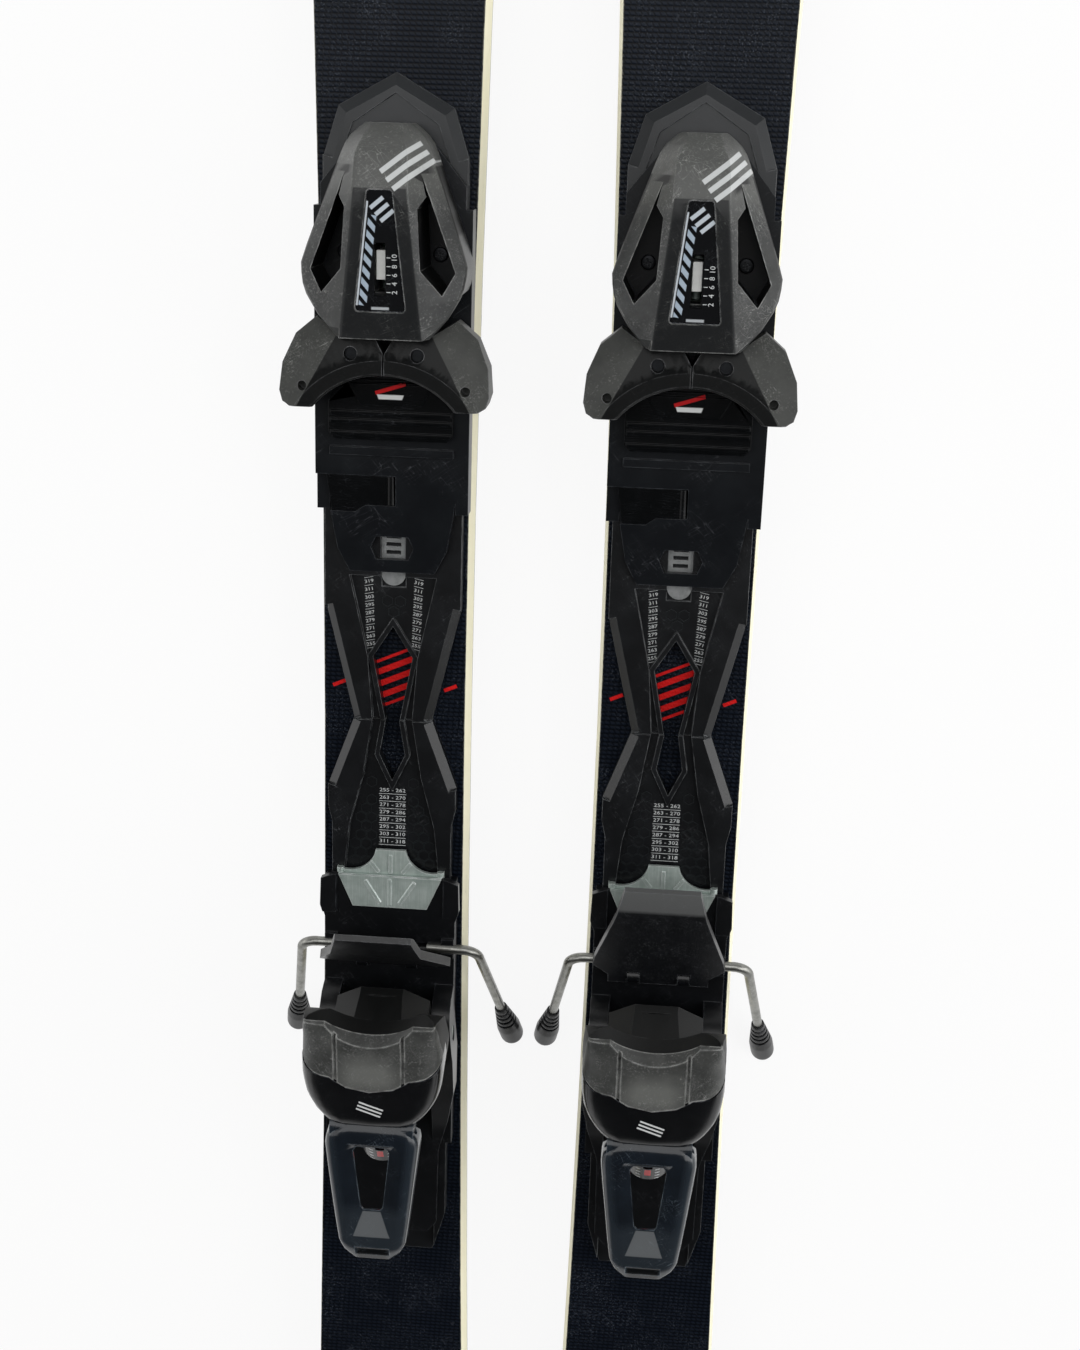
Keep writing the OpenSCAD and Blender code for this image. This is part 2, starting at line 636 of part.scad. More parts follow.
module front_rail() difference() {
    plate(mirrored(front_rail_half), 0, rail_h);
    plate(mirrored(diamond_half), -over, rail_h + over);
    difference() {
        plate(mirrored(front_panel_half), panel_z, rail_h + over);
        translate([0, 0, -over]) linear_extrude(rail_h) offset(delta = diamond_rim)
            polygon(mirrored(diamond_half));
    }
    plate(mirrored(front_tray_half), rail_h - tray_d, rail_h + over);
    translate([-rack_room, front_rack[0] - over, rack_z])
        cube([2 * rack_room, front_rack[1] - front_rack[0] + 2 * over, rail_h]);
    both_sides() {
        flank_groove(front_rail_w, front_groove[0], front_groove[1]);
        for (spot = front_screws) rail_screw_room(spot);
        edge_bevel(front_rail_half[1], front_rail_half[0], rail_h, 5, 3);
        edge_bevel(front_rail_half[2], front_rail_half[1], rail_h, 5, 3);
        edge_bevel(front_rail_half[4], front_rail_half[3], rail_h, 4, 3.5);
    }
}

module rear_rail() difference() {
    plate(mirrored(rear_rail_half), 0, rail_h);
    plate(mirrored(diamond_half), -over, rail_h + over);
    difference() {
        plate(mirrored(rear_panel_half), panel_z, rail_h + over);
        translate([0, 0, -over]) linear_extrude(rail_h) offset(delta = diamond_rim)
            polygon(mirrored(diamond_half));
    }
    translate([-rack_room, rear_rack[1] - over, rack_z])
        cube([2 * rack_room, rear_rack[0] - rear_rack[1] + 2 * over, rail_h]);
    both_sides() {
        flank_groove(rear_rail_w, rear_groove[0], rear_groove[1]);
        for (spot = rear_screws) rail_screw_room(spot);
        edge_bevel(rear_rail_half[1], rear_rail_half[0], rail_h, 4, 3.5);
    }
}

module rail_plates() color("#1a1b1d") each_ski() {
    front_rail();
    rear_rail();
}

// Slotted strip with one round end
module rack(round_end, square_end, slots) {
    way = sign(square_end - round_end);
    difference() {
        union() {
            translate([-rack_w / 2, min(round_end + way * rack_w / 2, square_end), rack_z])
                cube([rack_w, abs(square_end - round_end) - rack_w / 2, rack_t]);
            translate([0, round_end + way * rack_w / 2, rack_z]) cylinder(r = rack_w / 2, h = rack_t);
        }
        for (i = [0 : slots - 1])
            translate([0, round_end + way * (rack_w / 2 + 3 + i * rack_pitch), rack_z + rack_t / 2])
                cube([rack_w * 0.62, rack_pitch / 2, 2 * rack_t], center = true);
    }
}

module racks() color("#9a9ea3") each_ski() {
    rack(front_rack[0], front_rack[1], 20);
    rack(rear_rack[0], rear_rack[1], 26);
}

module rail_screws() color("#8c9096") each_ski() both_sides()
    for (spot = concat(front_screws, rear_screws)) rail_screw(spot);

// Skirt that hangs over a rail's flank, with the lip that runs in its groove
module skirt(rail_w, back, front, top) {
    translate([rail_w / 2 + slide_gap, back, 1.5]) cube([skirt_t, front - back, top - 1.5]);
    translate([rail_w / 2 - groove_d + slide_gap, back, groove_z + slide_gap])
        cube([groove_d + skirt_t / 2, front - back, groove_h - 2 * slide_gap]);
    translate([rail_w / 2 - skirt_t, back, slide_z]) cube([2 * skirt_t, front - back, top - slide_z]);
}

// Toe piece

module toe_carriage(side) color("#202124") at_toe(side) difference() {
    union() {
        plate(mirrored(carriage_half), slide_z, deck_top);
        both_sides() skirt(front_rail_w, toe_skirt[0], toe_skirt[1], deck_top);
        translate([-ridge_half, ridge_y, deck_top - over]) cube([2 * ridge_half, ridge_l, over + ridge_h]);
    }
    // Rear half slopes down to its edge
    translate([-wings_w / 2, slope_y, deck_top]) rotate([deck_slope, 0, 0]) translate([0, -wings_w, 0])
        cube([wings_w, wings_w, housing_h]);
    // Latch pocket, open at the left
    latch_pocket();
    // Window over the rack
    plate(mirrored(rack_view_half), 0, deck_top + over);
    both_sides() translate([wing_pin_x, wing_pin_y, slide_z + over])
        cylinder(r = wing_pin_r + seat, h = carriage_t);
    // Cross groove that guides the gliding plate
    translate([-guide_half, guide_y, deck_top - guide_d]) cube([2 * guide_half, guide_l, guide_d + over]);
}

module latch_pocket() {
    translate([0, 0, latch_z]) linear_extrude(carriage_t) offset(delta = pass) polygon(concat(latch_outline,
        [[-front_rail_w, latch_back - 3.5], [-front_rail_w, latch_front]]));
}

module toe_latch(side) color("#26272a") at_toe(side) {
    difference() {
        plate(latch_outline, latch_mid_z - latch_t / 2, latch_mid_z + latch_t / 2);
        translate([latch_hinge_x, 2 * latch_back, 0]) cube([front_rail_w, -2 * latch_back, housing_h]);
        // Finger scallop under the free end
        translate([latch_free_x, (latch_front + latch_back) / 2, latch_z])
            rod_y(scallop_r, -scallop_half, scallop_half);
    }
    translate([latch_hinge_x, 0, latch_mid_z]) rod_y(latch_hinge_r, latch_back, latch_front);
}

// Release window's seat, level with the sloping ridge
module window_plate(grow, low, high) translate([0, window_half[1][1], housing_h - window_dip])
    rotate([window_pitch, 0, 0]) translate([0, -window_half[1][1], low]) linear_extrude(high - low)
        offset(r = window_corner + grow) offset(delta = -window_corner) polygon(mirrored(window_half));

module toe_housing(side) color("#4a4b4e") at_toe(side) difference() {
    loft([for (y = housing_stations) creased(y, eased(y, housing_half_keys, soft), deck_top,
        eased(y, housing_shoulder_keys, soft), eased(y, housing_panel_keys, soft),
        eased(y, housing_top_keys, soft))]);
    // Room for the wings under the rear edge
    translate([-housing_w, housing_back - over, deck_top - over])
        cube([2 * housing_w, block_back - housing_back + over, roof_z - deck_top + over]);
    both_sides() plate(arm_opening, deck_top - over, housing_h + over);
    translate([0, 0, tunnel_z]) {
        rod_y(tunnel_r, block_back - over, front_wall);
        rod_y(release_r + pass, front_wall - over, housing_front);
        rod_y(head_r + pass, head_y, housing_front + over);
    }
    // Slot that shows the pointer
    translate([-pointer_w / 2 - pass, nut_back - slot_room - pass, tunnel_z])
        cube([pointer_w + 2 * pass, nut_l + 2 * slot_room + 2 * pass, housing_h]);
    window_plate(seat, -window_t, housing_h);
}

module toe_window(side) color("#2a2c30", 0.6) at_toe(side) window_plate(0, -window_t, window_proud);

// Turn of a spring about y: a tube of six sides along a helix
function helix_ring(a, y, from_z) = [for (k = [0 : 60 : 300])
    let (r = spring_r + spring_wire_r * cos(k))
    [r * cos(a), y + spring_wire_r * sin(k), from_z + r * sin(a)]];

module spring(back, front, level) {
    run_l = front - back - 2 * spring_wire_r;
    steps = spring_turns * 12;
    loft([for (i = [0 : steps])
        helix_ring(i * 30, back + spring_wire_r + run_l * i / steps, level)]);
}

module toe_spring(side) color("#8d9197") at_toe(side)
    spring(nut_front + pass / 2, front_wall - collar_l - pass, tunnel_z);

module toe_spring_nut(side) color("#e8e8e6") at_toe(side) difference() {
    union() {
        translate([0, 0, tunnel_z]) rod_y(piston_r, nut_back, nut_front);
        translate([-pointer_w / 2, nut_back, tunnel_z])
            cube([pointer_w, nut_l, housing_h - window_dip - window_t - over - tunnel_z]);
    }
    translate([0, 0, tunnel_z]) rod_y(release_r + pass, nut_back - over, nut_front + over);
}

module toe_plunger(side) color("#6d7075") at_toe(side) translate([0, 0, tunnel_z])
    rod_y(piston_r, housing_back + pass, nut_back - slot_room - pass);

module toe_release_screw(side) color("#b5b8bc") at_toe(side) translate([0, 0, tunnel_z]) difference() {
    union() {
        rod_y(release_r, nut_back - slot_room, head_y + over);
        rod_y(head_r, head_y + pass / 2, head_y + head_l);
        // Collar that bears on the front wall and takes the spring's thrust
        rod_y(piston_r, front_wall - collar_l - pass / 2, front_wall - pass / 2);
    }
    // Cross slot for the screwdriver
    for (turn = [0, 90]) rotate([0, turn, 0])
        translate([-head_r, head_y + head_l - drive_d, -drive_w / 2])
            cube([2 * head_r, drive_d + over, drive_w]);
}

// A wing is turned about the boot's toe and trimmed to its outline
module right_wing_shape() difference() {
    union() {
        intersection() {
            plate(wing_half, wing_foot, wing_top);
            translate([0, -boot_toe_r, 0]) rotate_extrude($fn = 96) polygon(wing_section);
        }
        translate([wing_pin_x, wing_pin_y, deck_top + pass]) cylinder(r = wing_hub_r, h = wing_foot);
    }
    translate([0, -boot_toe_r, 0]) cylinder(r = boot_toe_r + pass, h = lip_z, $fn = 96);
    translate([wing_pin_x, wing_pin_y, 0]) cylinder(r = wing_pin_r + run, h = 2 * wing_top);
    // Hollow under the outer shoulder, and the blind hole above it
    translate([wing_hole[0], wing_hole[1], 0])
        cylinder(r = wing_hollow_r, h = lip_z - wing_hole_d - wing_wall);
    translate([wing_hole[0], wing_hole[1], lip_z - wing_hole_d]) cylinder(r = wing_hole_r, h = wing_top);
}

module left_wing(side) color("#333437") at_toe(side) mirror([1, 0, 0]) right_wing_shape();

module right_wing(side) color("#333437") at_toe(side) right_wing_shape();

module wing_pins(side) color("#9a9ea3") at_toe(side) both_sides()
    translate([wing_pin_x, wing_pin_y, slide_z + over])
        cylinder(r = wing_pin_r, h = wing_front_top - pin_sunk - slide_z - over);

module glide_plate(side) color("#232427") at_toe(side) {
    plate(mirrored(glide_half), deck_top + glide_gap, stand_z - glide_ridge_h);
    plate(mirrored(glide_pad_half), stand_z - glide_ridge_h - seat, stand_z);
    for (y = glide_ridges)
        translate([-glide_ridge_half, y - glide_ridge_w / 2, stand_z - glide_ridge_h - seat])
            cube([2 * glide_ridge_half, glide_ridge_w, glide_ridge_h + seat]);
    // Tongue in the carriage's cross groove
    translate([-tongue_half, guide_y + slide_gap, deck_top - guide_d + slide_gap])
        cube([2 * tongue_half, guide_l - 2 * slide_gap, guide_d + over]);
}

// Heel piece

module anchor_plate(side) color("#c3c7cb") at_heel(side) {
    difference() {
        plate(mirrored(plate_half), plate_z, plate_top);
        both_sides() translate([pointer_half + flare_r, plate_front + plate_t, plate_z - over])
            cylinder(r = flare_r, h = plate_t + 2 * over);
    }
    both_sides() translate([plate_wide - hook_r, 0, plate_top]) rod_y(hook_r, hook[0], hook[1]);
    // Pressed ribs
    translate([-rib_w / 2, rib_y, plate_top - over]) cube([rib_w, rib_l, over + rib_h]);
    both_sides() translate([side_rib[0], rib_y + over, plate_top - over]) rotate([0, 0, -side_rib[2]])
        cube([rib_w, side_rib[1], over + rib_h]);
}

module heel_base(side) color("#1f2023") at_heel(side) difference() {
    union() {
        plate(mirrored(floor_half), plate_top, floor_top);
        both_sides() {
            skirt(rear_rail_w, heel_skirt[0], heel_skirt[1], floor_top);
            // Raised front corners, and the blocks that hold the brake wire
            intersection() {
                plate(mirrored(floor_half), plate_top, plate_top + corner_h);
                translate([corner_x, corner_y, plate_top]) cube([cup_w, corner_x, corner_h]);
            }
            translate([wire_block[0], wire_y - wire_block[2] / 2, plate_top])
                cube([wire_block[1], wire_block[2], wire_z + over - plate_top]);
            // Cheeks that carry the heel axle
            intersection() {
                plate(mirrored(floor_half), plate_top, heel_lip_z);
                across(cheek_side, cup_w);
                translate([cheek_in, -2 * cup_w, 0]) cube([cup_w, 4 * cup_w, heel_lip_z]);
            }
            // Lugs that carry the pedal
            translate([lug_x, pedal_y, pedal_z]) rod_x(hinge_r + lug_wall, 0, lug_w);
            translate([lug_x, pedal_y - hinge_r - lug_wall, plate_top])
                cube([lug_w, 2 * (hinge_r + lug_wall), pedal_z - plate_top]);
        }
    }
    translate([0, wire_y, wire_z]) rod_x(wire_r + run, -cup_w, cup_w);
    translate([0, pedal_y, pedal_z]) rod_x(hinge_r + run, -cheek_in, cheek_in);
    translate([0, -axle_back, axle_z]) rod_x(axle_r + seat, -cup_w, cup_w);
    // Room for the barrel of the open jaw
    translate([-barrel_room, barrel_room_y[0], floor_top])
        cube([2 * barrel_room, barrel_room_y[1] - barrel_room_y[0], heel_lip_z]);
}

module heel_axle(side) color("#9a9ea3") at_heel(side) translate([0, -axle_back, axle_z])
    rod_x(axle_r, -axle_half, axle_half);

function jaw_top(y) = eased(y, jaw_top_keys, soft);

// The shell closes in from the cup to the spring barrel
function jaw_half(y) = y > seam_y ? eased(y, cup_half_keys, soft)
    : between(barrel_r, cup_w / 2 - 0.5, cos(90 * (seam_y - y) / (seam_y - shell_back)));

// Space behind the wavy seam, down to the shell's floor
module behind_seam(floor_z) plate(mirrored(seam_half), floor_z, 2 * heel_lip_z);

module heel_jaw(side) color("#55565a") opened(side) difference() {
    union() {
        difference() {
            loft([for (y = cup_stations)
                arch(y, jaw_half(y), lookup(y, cup_foot_keys), jaw_top(y), cup_squareness)]);
            behind_seam(shell_low - pass);
            // Grooves and dished panels on the cup's crown
            both_sides() {
                translate([cup_groove_x, seam_half[0][1], jaw_top(seam_half[0][1]) - cup_groove_d])
                    rotate([-crown_slope, 0, 0]) translate([-cup_groove_w / 2, -boot_heel_r, 0])
                        cube([cup_groove_w, 2 * boot_heel_r, 2 * cup_groove_x]);
                translate([cup_dish[0], cup_dish[1], jaw_top(cup_dish[1])]) rotate([-crown_slope, 0, 0])
                    translate([0, 0, dish_r - dish_d]) sphere(r = dish_r);
            }
        }
        intersection() {
            across(web_side, jaw_in);
            plate(mirrored(treadle_half), 0, heel_lip_z);
        }
        translate([0, -axle_back, axle_z]) rod_x(hub_r, -jaw_in, jaw_in);
    }
    // Heel pocket and the lip over the heel ledge
    translate([0, boot_heel_r, treadle_top]) cylinder(r = boot_heel_r, h = heel_ledge_t, $fn = 96);
    translate([0, heel_lip_reach + heel_lip_r, heel_lip_z - over])
        cylinder(r = heel_lip_r, h = heel_lip_z, $fn = 96);
    translate([0, -axle_back, axle_z]) rod_x(axle_r + run, -cup_w, cup_w);
}

module heel_housing(side) color("#0e0f12") difference() {
    union() {
        difference() {
            opened(side) {
                intersection() {
                    loft([for (y = shell_stations)
                        arch(y, jaw_half(y) - reveal, shell_low, jaw_top(y) - reveal,
                            cup_squareness)]);
                    translate([0, -pass, 0]) behind_seam(0);
                }
                translate([0, 0, barrel_z]) rod_y(barrel_r, barrel_back, shell_back + 6);
            }
            at_lever(side) lever_room();
        }
        at_lever(side) {
            rod_x(boss_r, -ear_in + pass, ear_in - pass);
            translate([-ear_in + pass, -boss_r, -boss_h]) cube([2 * ear_in - 2 * pass, 2 * boss_r, boss_h]);
        }
    }
    opened(side) {
        translate([0, 0, barrel_z]) rod_y(tunnel_r, barrel_back - over, bore_front);
        translate([-pointer_w / 2 - pass, heel_nut_back - slot_room - pass, barrel_z])
            cube([pointer_w + 2 * pass, nut_l + 2 * slot_room + 2 * pass, 2 * barrel_r]);
    }
    at_lever(side) rod_x(lever_pin_r + seat, -lever_w, lever_w);
}

module heel_spring(side) color("#8d9197") opened(side)
    spring(heel_nut_back + nut_l + pass / 2, plunger_back - pass / 2, barrel_z);

module heel_plunger(side) color("#6d7075") opened(side) translate([0, 0, barrel_z])
    rod_y(piston_r, plunger_back, bore_front - pass);

module heel_spring_nut(side) color("#b3262a") opened(side) difference() {
    union() {
        translate([0, 0, barrel_z]) rod_y(piston_r, heel_nut_back, heel_nut_back + nut_l);
        translate([-pointer_w / 2, heel_nut_back, barrel_z]) cube([pointer_w, nut_l, barrel_r - seat]);
    }
    translate([0, 0, barrel_z]) rod_y(release_r + pass, heel_nut_back - over, heel_nut_back + nut_l + over);
}

module heel_release_screw(side) color("#b5b8bc") opened(side) translate([0, 0, barrel_z]) difference() {
    union() {
        rod_y(piston_r, barrel_back + over, barrel_back + head_l);
        rod_y(release_r, barrel_back + head_l - over, heel_nut_back + nut_l + slot_room);
    }
    for (turn = [0, 90]) rotate([0, turn, 0])
        translate([-piston_r, barrel_back, -drive_w / 2]) cube([2 * piston_r, over + drive_d, drive_w]);
}

// Lever pieces are drawn from the lever pin, where the open jaw holds it
module at_lever(side) at_heel(side) translate([0, lever_rest[0], lever_rest[1]]) children();

// Space that the lever sweeps
module lever_room() {
    rod_x(ear_r + pass, -lever_w, lever_w);
    across(lever_room_side, lever_w);
}

module opening_lever(side) color("#2b3140") at_lever(side) difference() {
    union() {
        loft([for (y = lever_stations) arch(y, eased(y, lever_half_keys, lever_soft),
            lookup(y, lever_low_keys), eased(y, lever_top_keys, lever_soft), lever_squareness)]);
        both_sides() rod_x(ear_r, ear_in, ear_out);
    }
    // Hollow underside, open at the front round the boss
    intersection() {
        plate(mirrored(lever_hollow_half), -lever_w, lever_w);
        across(lever_hollow_side, lever_w);
    }
    // Face that dips to the window
    translate([0, 0, lever_face_z]) rotate([lever_face_pitch, 0, 0])
        loft([flat_ring(lever_rim_half, over), flat_ring(lever_window_half, -lever_dip)]);
    plate(mirrored(lever_window_half), -lever_w, lever_w);
    rod_x(lever_pin_r + run, -lever_w, lever_w);
    // Notch for a pole tip near the free end
    translate([0, notch_y, notch_z]) rod_x(notch_r, -notch_half, notch_half);
}

module lever_pin(side) color("#9a9ea3") at_lever(side) rod_x(lever_pin_r, -ear_out, ear_out);

// Brake

// Turns an arm's own plane, with x across and y along the arm, to where the arm points
module at_brake(side) at_heel(side) translate([0, wire_y, wire_z]) both_sides()
    rotate([180 + arm_down, 0, 0]) children();

// Runs along an arm from its knee, as z
module along_arm() translate([arm_x, 0, 0]) rotate([0, 0, bend_turn]) rotate([0, 90, 0]) children();

module brake_arms(side) color("#7d8186") at_brake(side) {
    rod_x(wire_r, 20, arm_x - bend_l + bend_lap);
    // The wire swells a little where it is bent
    translate([arm_x - bend_l, bend_r, 0]) rotate([0, 0, -90]) rotate_extrude(angle = bend_turn)
        translate([bend_r, 0]) circle(r = wire_r + bend_swell);
    along_arm() translate([0, 0, bend_l - bend_lap])
        cylinder(r = wire_r, h = arm_l - bend_l + bend_lap - brake_tip_l / 2);
}

// Ribbed tip, turned on the arm's line
module brake_tips(side) color("#161719") at_brake(side) along_arm() difference() {
    translate([0, 0, arm_l]) rotate_extrude() difference() {
        union() {
            intersection() {
                circle(r = brake_tip_r);
                square(brake_tip_r);
            }
            polygon([[0, over], [brake_tip_r, 0], [brake_tip_r, -brake_tip_l * 0.3],
                [brake_tip_neck, -brake_tip_l], [0, -brake_tip_l]]);
        }
        for (i = [0 : tip_ribs - 1])
            translate([brake_tip_neck, -brake_tip_l * 0.92 + i * tip_rib_pitch])
                square([brake_tip_r, tip_rib_pitch / 2]);
    }
    cylinder(r = wire_r + seat, h = arm_l - brake_tip_l / 2 + seat);
}

module brake_pedal(side) color("#1b1c1e") at_heel(side) translate([0, pedal_y, pedal_z])
    rotate([side < 0 ? left_pedal_up : right_pedal_up, 0, 0]) {
        difference() {
            union() {
                plate(mirrored(pedal_half), -pedal_t / 2, pedal_t / 2);
                intersection() {
                    plate(mirrored(pedal_half), -pedal_l, pedal_l);
                    across(pedal_nose_side, pedal_l);
                }
            }
            // The top of the nose is bevelled
            both_sides() translate([0, pedal_l - nose_bevel, pedal_t / 2]) rotate([-nose_pitch, 0, 0])
                translate([-over, 0, 0]) cube([pedal_l, pedal_l, pedal_l]);
            both_sides() translate([lug_x - pass, -hinge_r - lug_wall - 2 * pass, -pedal_t])
                cube([lug_w + 2 * pass, 2 * (hinge_r + lug_wall + 2 * pass), 2 * pedal_t]);
        }
        rod_x(hinge_r, -pedal_axle_half, pedal_axle_half);
    }

running_bases();
steel_edges();
cores();
sidewalls();
topsheets();
rail_plates();
racks();
rail_screws();
for (side = [-1, 1]) {
    ski = side < 0 ? "l_" : "r_";
    toe_carriage(side);
    toe_housing(side);
    toe_window(side);
    toe_spring(side);
    toe_spring_nut(side);
    toe_plunger(side);
    toe_release_screw(side);
    left_wing(side);
    right_wing(side);
    wing_pins(side);
    glide_plate(side);
    toe_latch(side);
    anchor_plate(side);
    heel_base(side);
    heel_axle(side);
    heel_jaw(side);
    heel_housing(side);
    heel_spring(side);
    heel_spring_nut(side);
    heel_plunger(side);
    heel_release_screw(side);
    opening_lever(side);
    lever_pin(side);
    brake_arms(side);
    brake_tips(side);
    brake_pedal(side);
}
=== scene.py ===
"""Dresses a pair of alpine skis with rail bindings: finishes, scales, small parts, light and camera."""

import logging
import math
from abc import ABC, abstractmethod
from dataclasses import dataclass
from enum import Enum
from typing import Any, Iterable, Sequence

import bpy
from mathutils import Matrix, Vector


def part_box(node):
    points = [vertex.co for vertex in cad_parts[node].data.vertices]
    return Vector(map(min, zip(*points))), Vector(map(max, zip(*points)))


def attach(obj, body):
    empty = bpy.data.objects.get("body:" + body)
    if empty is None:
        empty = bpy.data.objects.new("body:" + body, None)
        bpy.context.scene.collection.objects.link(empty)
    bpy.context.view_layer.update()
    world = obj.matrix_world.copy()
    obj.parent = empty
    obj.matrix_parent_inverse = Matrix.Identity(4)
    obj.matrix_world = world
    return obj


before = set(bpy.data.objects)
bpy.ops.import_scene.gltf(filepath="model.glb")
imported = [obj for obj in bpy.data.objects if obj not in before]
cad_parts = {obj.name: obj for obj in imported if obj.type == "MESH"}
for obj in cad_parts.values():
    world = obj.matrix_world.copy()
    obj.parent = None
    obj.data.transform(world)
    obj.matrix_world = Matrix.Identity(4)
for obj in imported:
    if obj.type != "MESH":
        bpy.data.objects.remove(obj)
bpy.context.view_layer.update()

log = logging.getLogger("skis")
MM = 0.001
SKIS = ("l", "r")
Piece = bpy.types.Object
Socket = bpy.types.NodeSocket
Tree = bpy.types.NodeTree


class Domain(Enum):
    """What a shading mark is kept on."""

    FACE = "FACE"
    EDGE = "EDGE"


class Way(Enum):
    """Which side of its outline a painted zone covers."""

    INSIDE = 1.0
    OUTSIDE = -1.0


def linear(hex_colour: str) -> tuple[float, float, float, float]:
    """Turns an sRGB hex colour to linear.

    Args:
        hex_colour: Colour as "#rrggbb".

    Returns:
        Linear red, green, blue and a full alpha.
    """
    parts = [int(hex_colour[i:i + 2], 16) / 255 for i in (1, 3, 5)]
    red, green, blue = (c / 12.92 if c <= 0.04045 else ((c + 0.055) / 1.055) ** 2.4 for c in parts)
    return red, green, blue, 1.0


def add(tree: Tree, kind: str, settings: dict[str, Any] | None = None,
        inputs: dict[str | int, Any] | None = None) -> Socket:
    """Adds a node, sets it up, fills or links its inputs.

    Args:
        tree: Tree that takes the node.
        kind: Blender's name for the kind of node.
        settings: Properties of the node.
        inputs: Values or sockets for its inputs, by name or number.

    Returns:
        The node's first output that is in use.
    """
    node = tree.nodes.new(kind)
    for key, value in (settings or {}).items():
        setattr(node, key, value)
    for key, value in (inputs or {}).items():
        if isinstance(value, Socket):
            tree.links.new(value, node.inputs[key])
        else:
            node.inputs[key].default_value = value
    return next(output for output in node.outputs if output.enabled)


def box_mm(node: str) -> tuple[Vector, Vector]:
    """Gives a CAD node's lowest and highest corner in millimetres."""
    low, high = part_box(node)
    return low / MM, high / MM


# Landmarks in millimetres, most of them read from the CAD nodes. The lip's height is above the axle, and the jaw's
# opening is in degrees.
HALF_SPACING = sum(corner.x for corner in box_mm("r_toe_housing")) / 2
TOE_REAR = box_mm("r_toe_housing")[0].y
LEVER_PIN = sum(corner.y for corner in box_mm("r_lever_pin")) / 2
SEAM = box_mm("r_heel_jaw")[0].y
PEDAL_FRONT = box_mm("r_brake_pedal")[1].y
HEEL_AXLE = tuple((sum(box_mm("r_heel_axle"), Vector()) / 2).yz)
JAW_OPEN = 30.0
HEEL_LIP = 31.2

# Stretches of noise, which lies round 0.5, that go from nothing to the full effect.
BLOTS = (0.4, 0.7)
DRAWN = (0.45, 0.75)
SCRATCHED = (0.5, 0.66)
# Patches of pale edges: wear on most finishes, a painted highlight on the zinc and the window.
WEAR_AND_HIGHLIGHT_PATCHES = (0.36, 0.62)
SPECKS = (0.56, 0.7)
SCUFFED = (0.42, 0.68)
# How far a rounded and a straight normal agree where an edge's paler band starts, and where it is full; the band is
# wear on most finishes and a painted highlight on a few.
EDGE_WEAR_AND_HIGHLIGHT = (0.988, 0.92)
# Upright share of the normal where a wall starts, and where it is fully one.
WALL = (0.5, 0.3)
# Raised share of a row and of a dash's step, with its softness.
ROW_SPAN = (0.2, 0.8, 0.3)
DASH_SPAN = (0.12, 0.88, 0.3)

# How CAD meshes are closed and rounded, in millimetres and degrees.
WELD_MM = 0.004
FLAT_DEG = 0.5
EDGE_SEGMENTS = 2
BEVEL_ABOVE_DEG = 3.0

# Print: a figure's share of the font's size, steps of its curves, thickness, and the rounded share of a line's edge.
FIGURE_SHARE = 0.7
CURVE_STEPS = 2
PRINT_T = 0.06
LINE_T = 0.12
LINE_EDGE = 0.3


@dataclass(frozen=True)
class Field:
    """A value that varies over a surface, so that sums on it read as plain arithmetic."""

    socket: Socket

    def work(self, operation: str, *others: "Field | float") -> "Field":
        """Works out one sum.

        Args:
            operation: Blender's name for the sum.
            others: Values that follow this one in the sum.

        Returns:
            The result.
        """
        values = [value.socket if isinstance(value, Field) else value for value in (self, *others)]
        return Field(add(self.socket.id_data, "ShaderNodeMath", {"operation": operation}, dict(enumerate(values))))

    def __add__(self, other: "Field | float") -> "Field":
        """Adds a value."""
        return self.work("ADD", other)

    def __sub__(self, other: "Field | float") -> "Field":
        """Takes a value away."""
        return self.work("SUBTRACT", other)

    def __mul__(self, other: "Field | float") -> "Field":
        """Multiplies by a value."""
        return self.work("MULTIPLY", other)

    def __abs__(self) -> "Field":
        """Drops the sign."""
        return self.work("ABSOLUTE")

    def mapped(self, low: float, high: float, start: float = 0.0, end: float = 1.0) -> "Field":
        """Maps a stretch of values evenly to another and holds it beyond its ends.

        Args:
            low: Value that becomes the start.
            high: Value that becomes the end.
            start: Result at the low value.
            end: Result at the high value.

        Returns:
            The mapped value.
        """
        return Field(add(self.socket.id_data, "ShaderNodeMapRange", None,
                         {"Value": self.socket, "From Min": low, "From Max": high, "To Min": start, "To Max": end}))

    def within(self, low: float, high: float, soft: float) -> "Field":
        """Marks where the value lies in a stretch, with soft ends."""
        half = (high - low) / 2
        return abs(self - (low + high) / 2).mapped(half + soft / 2, half - soft / 2)


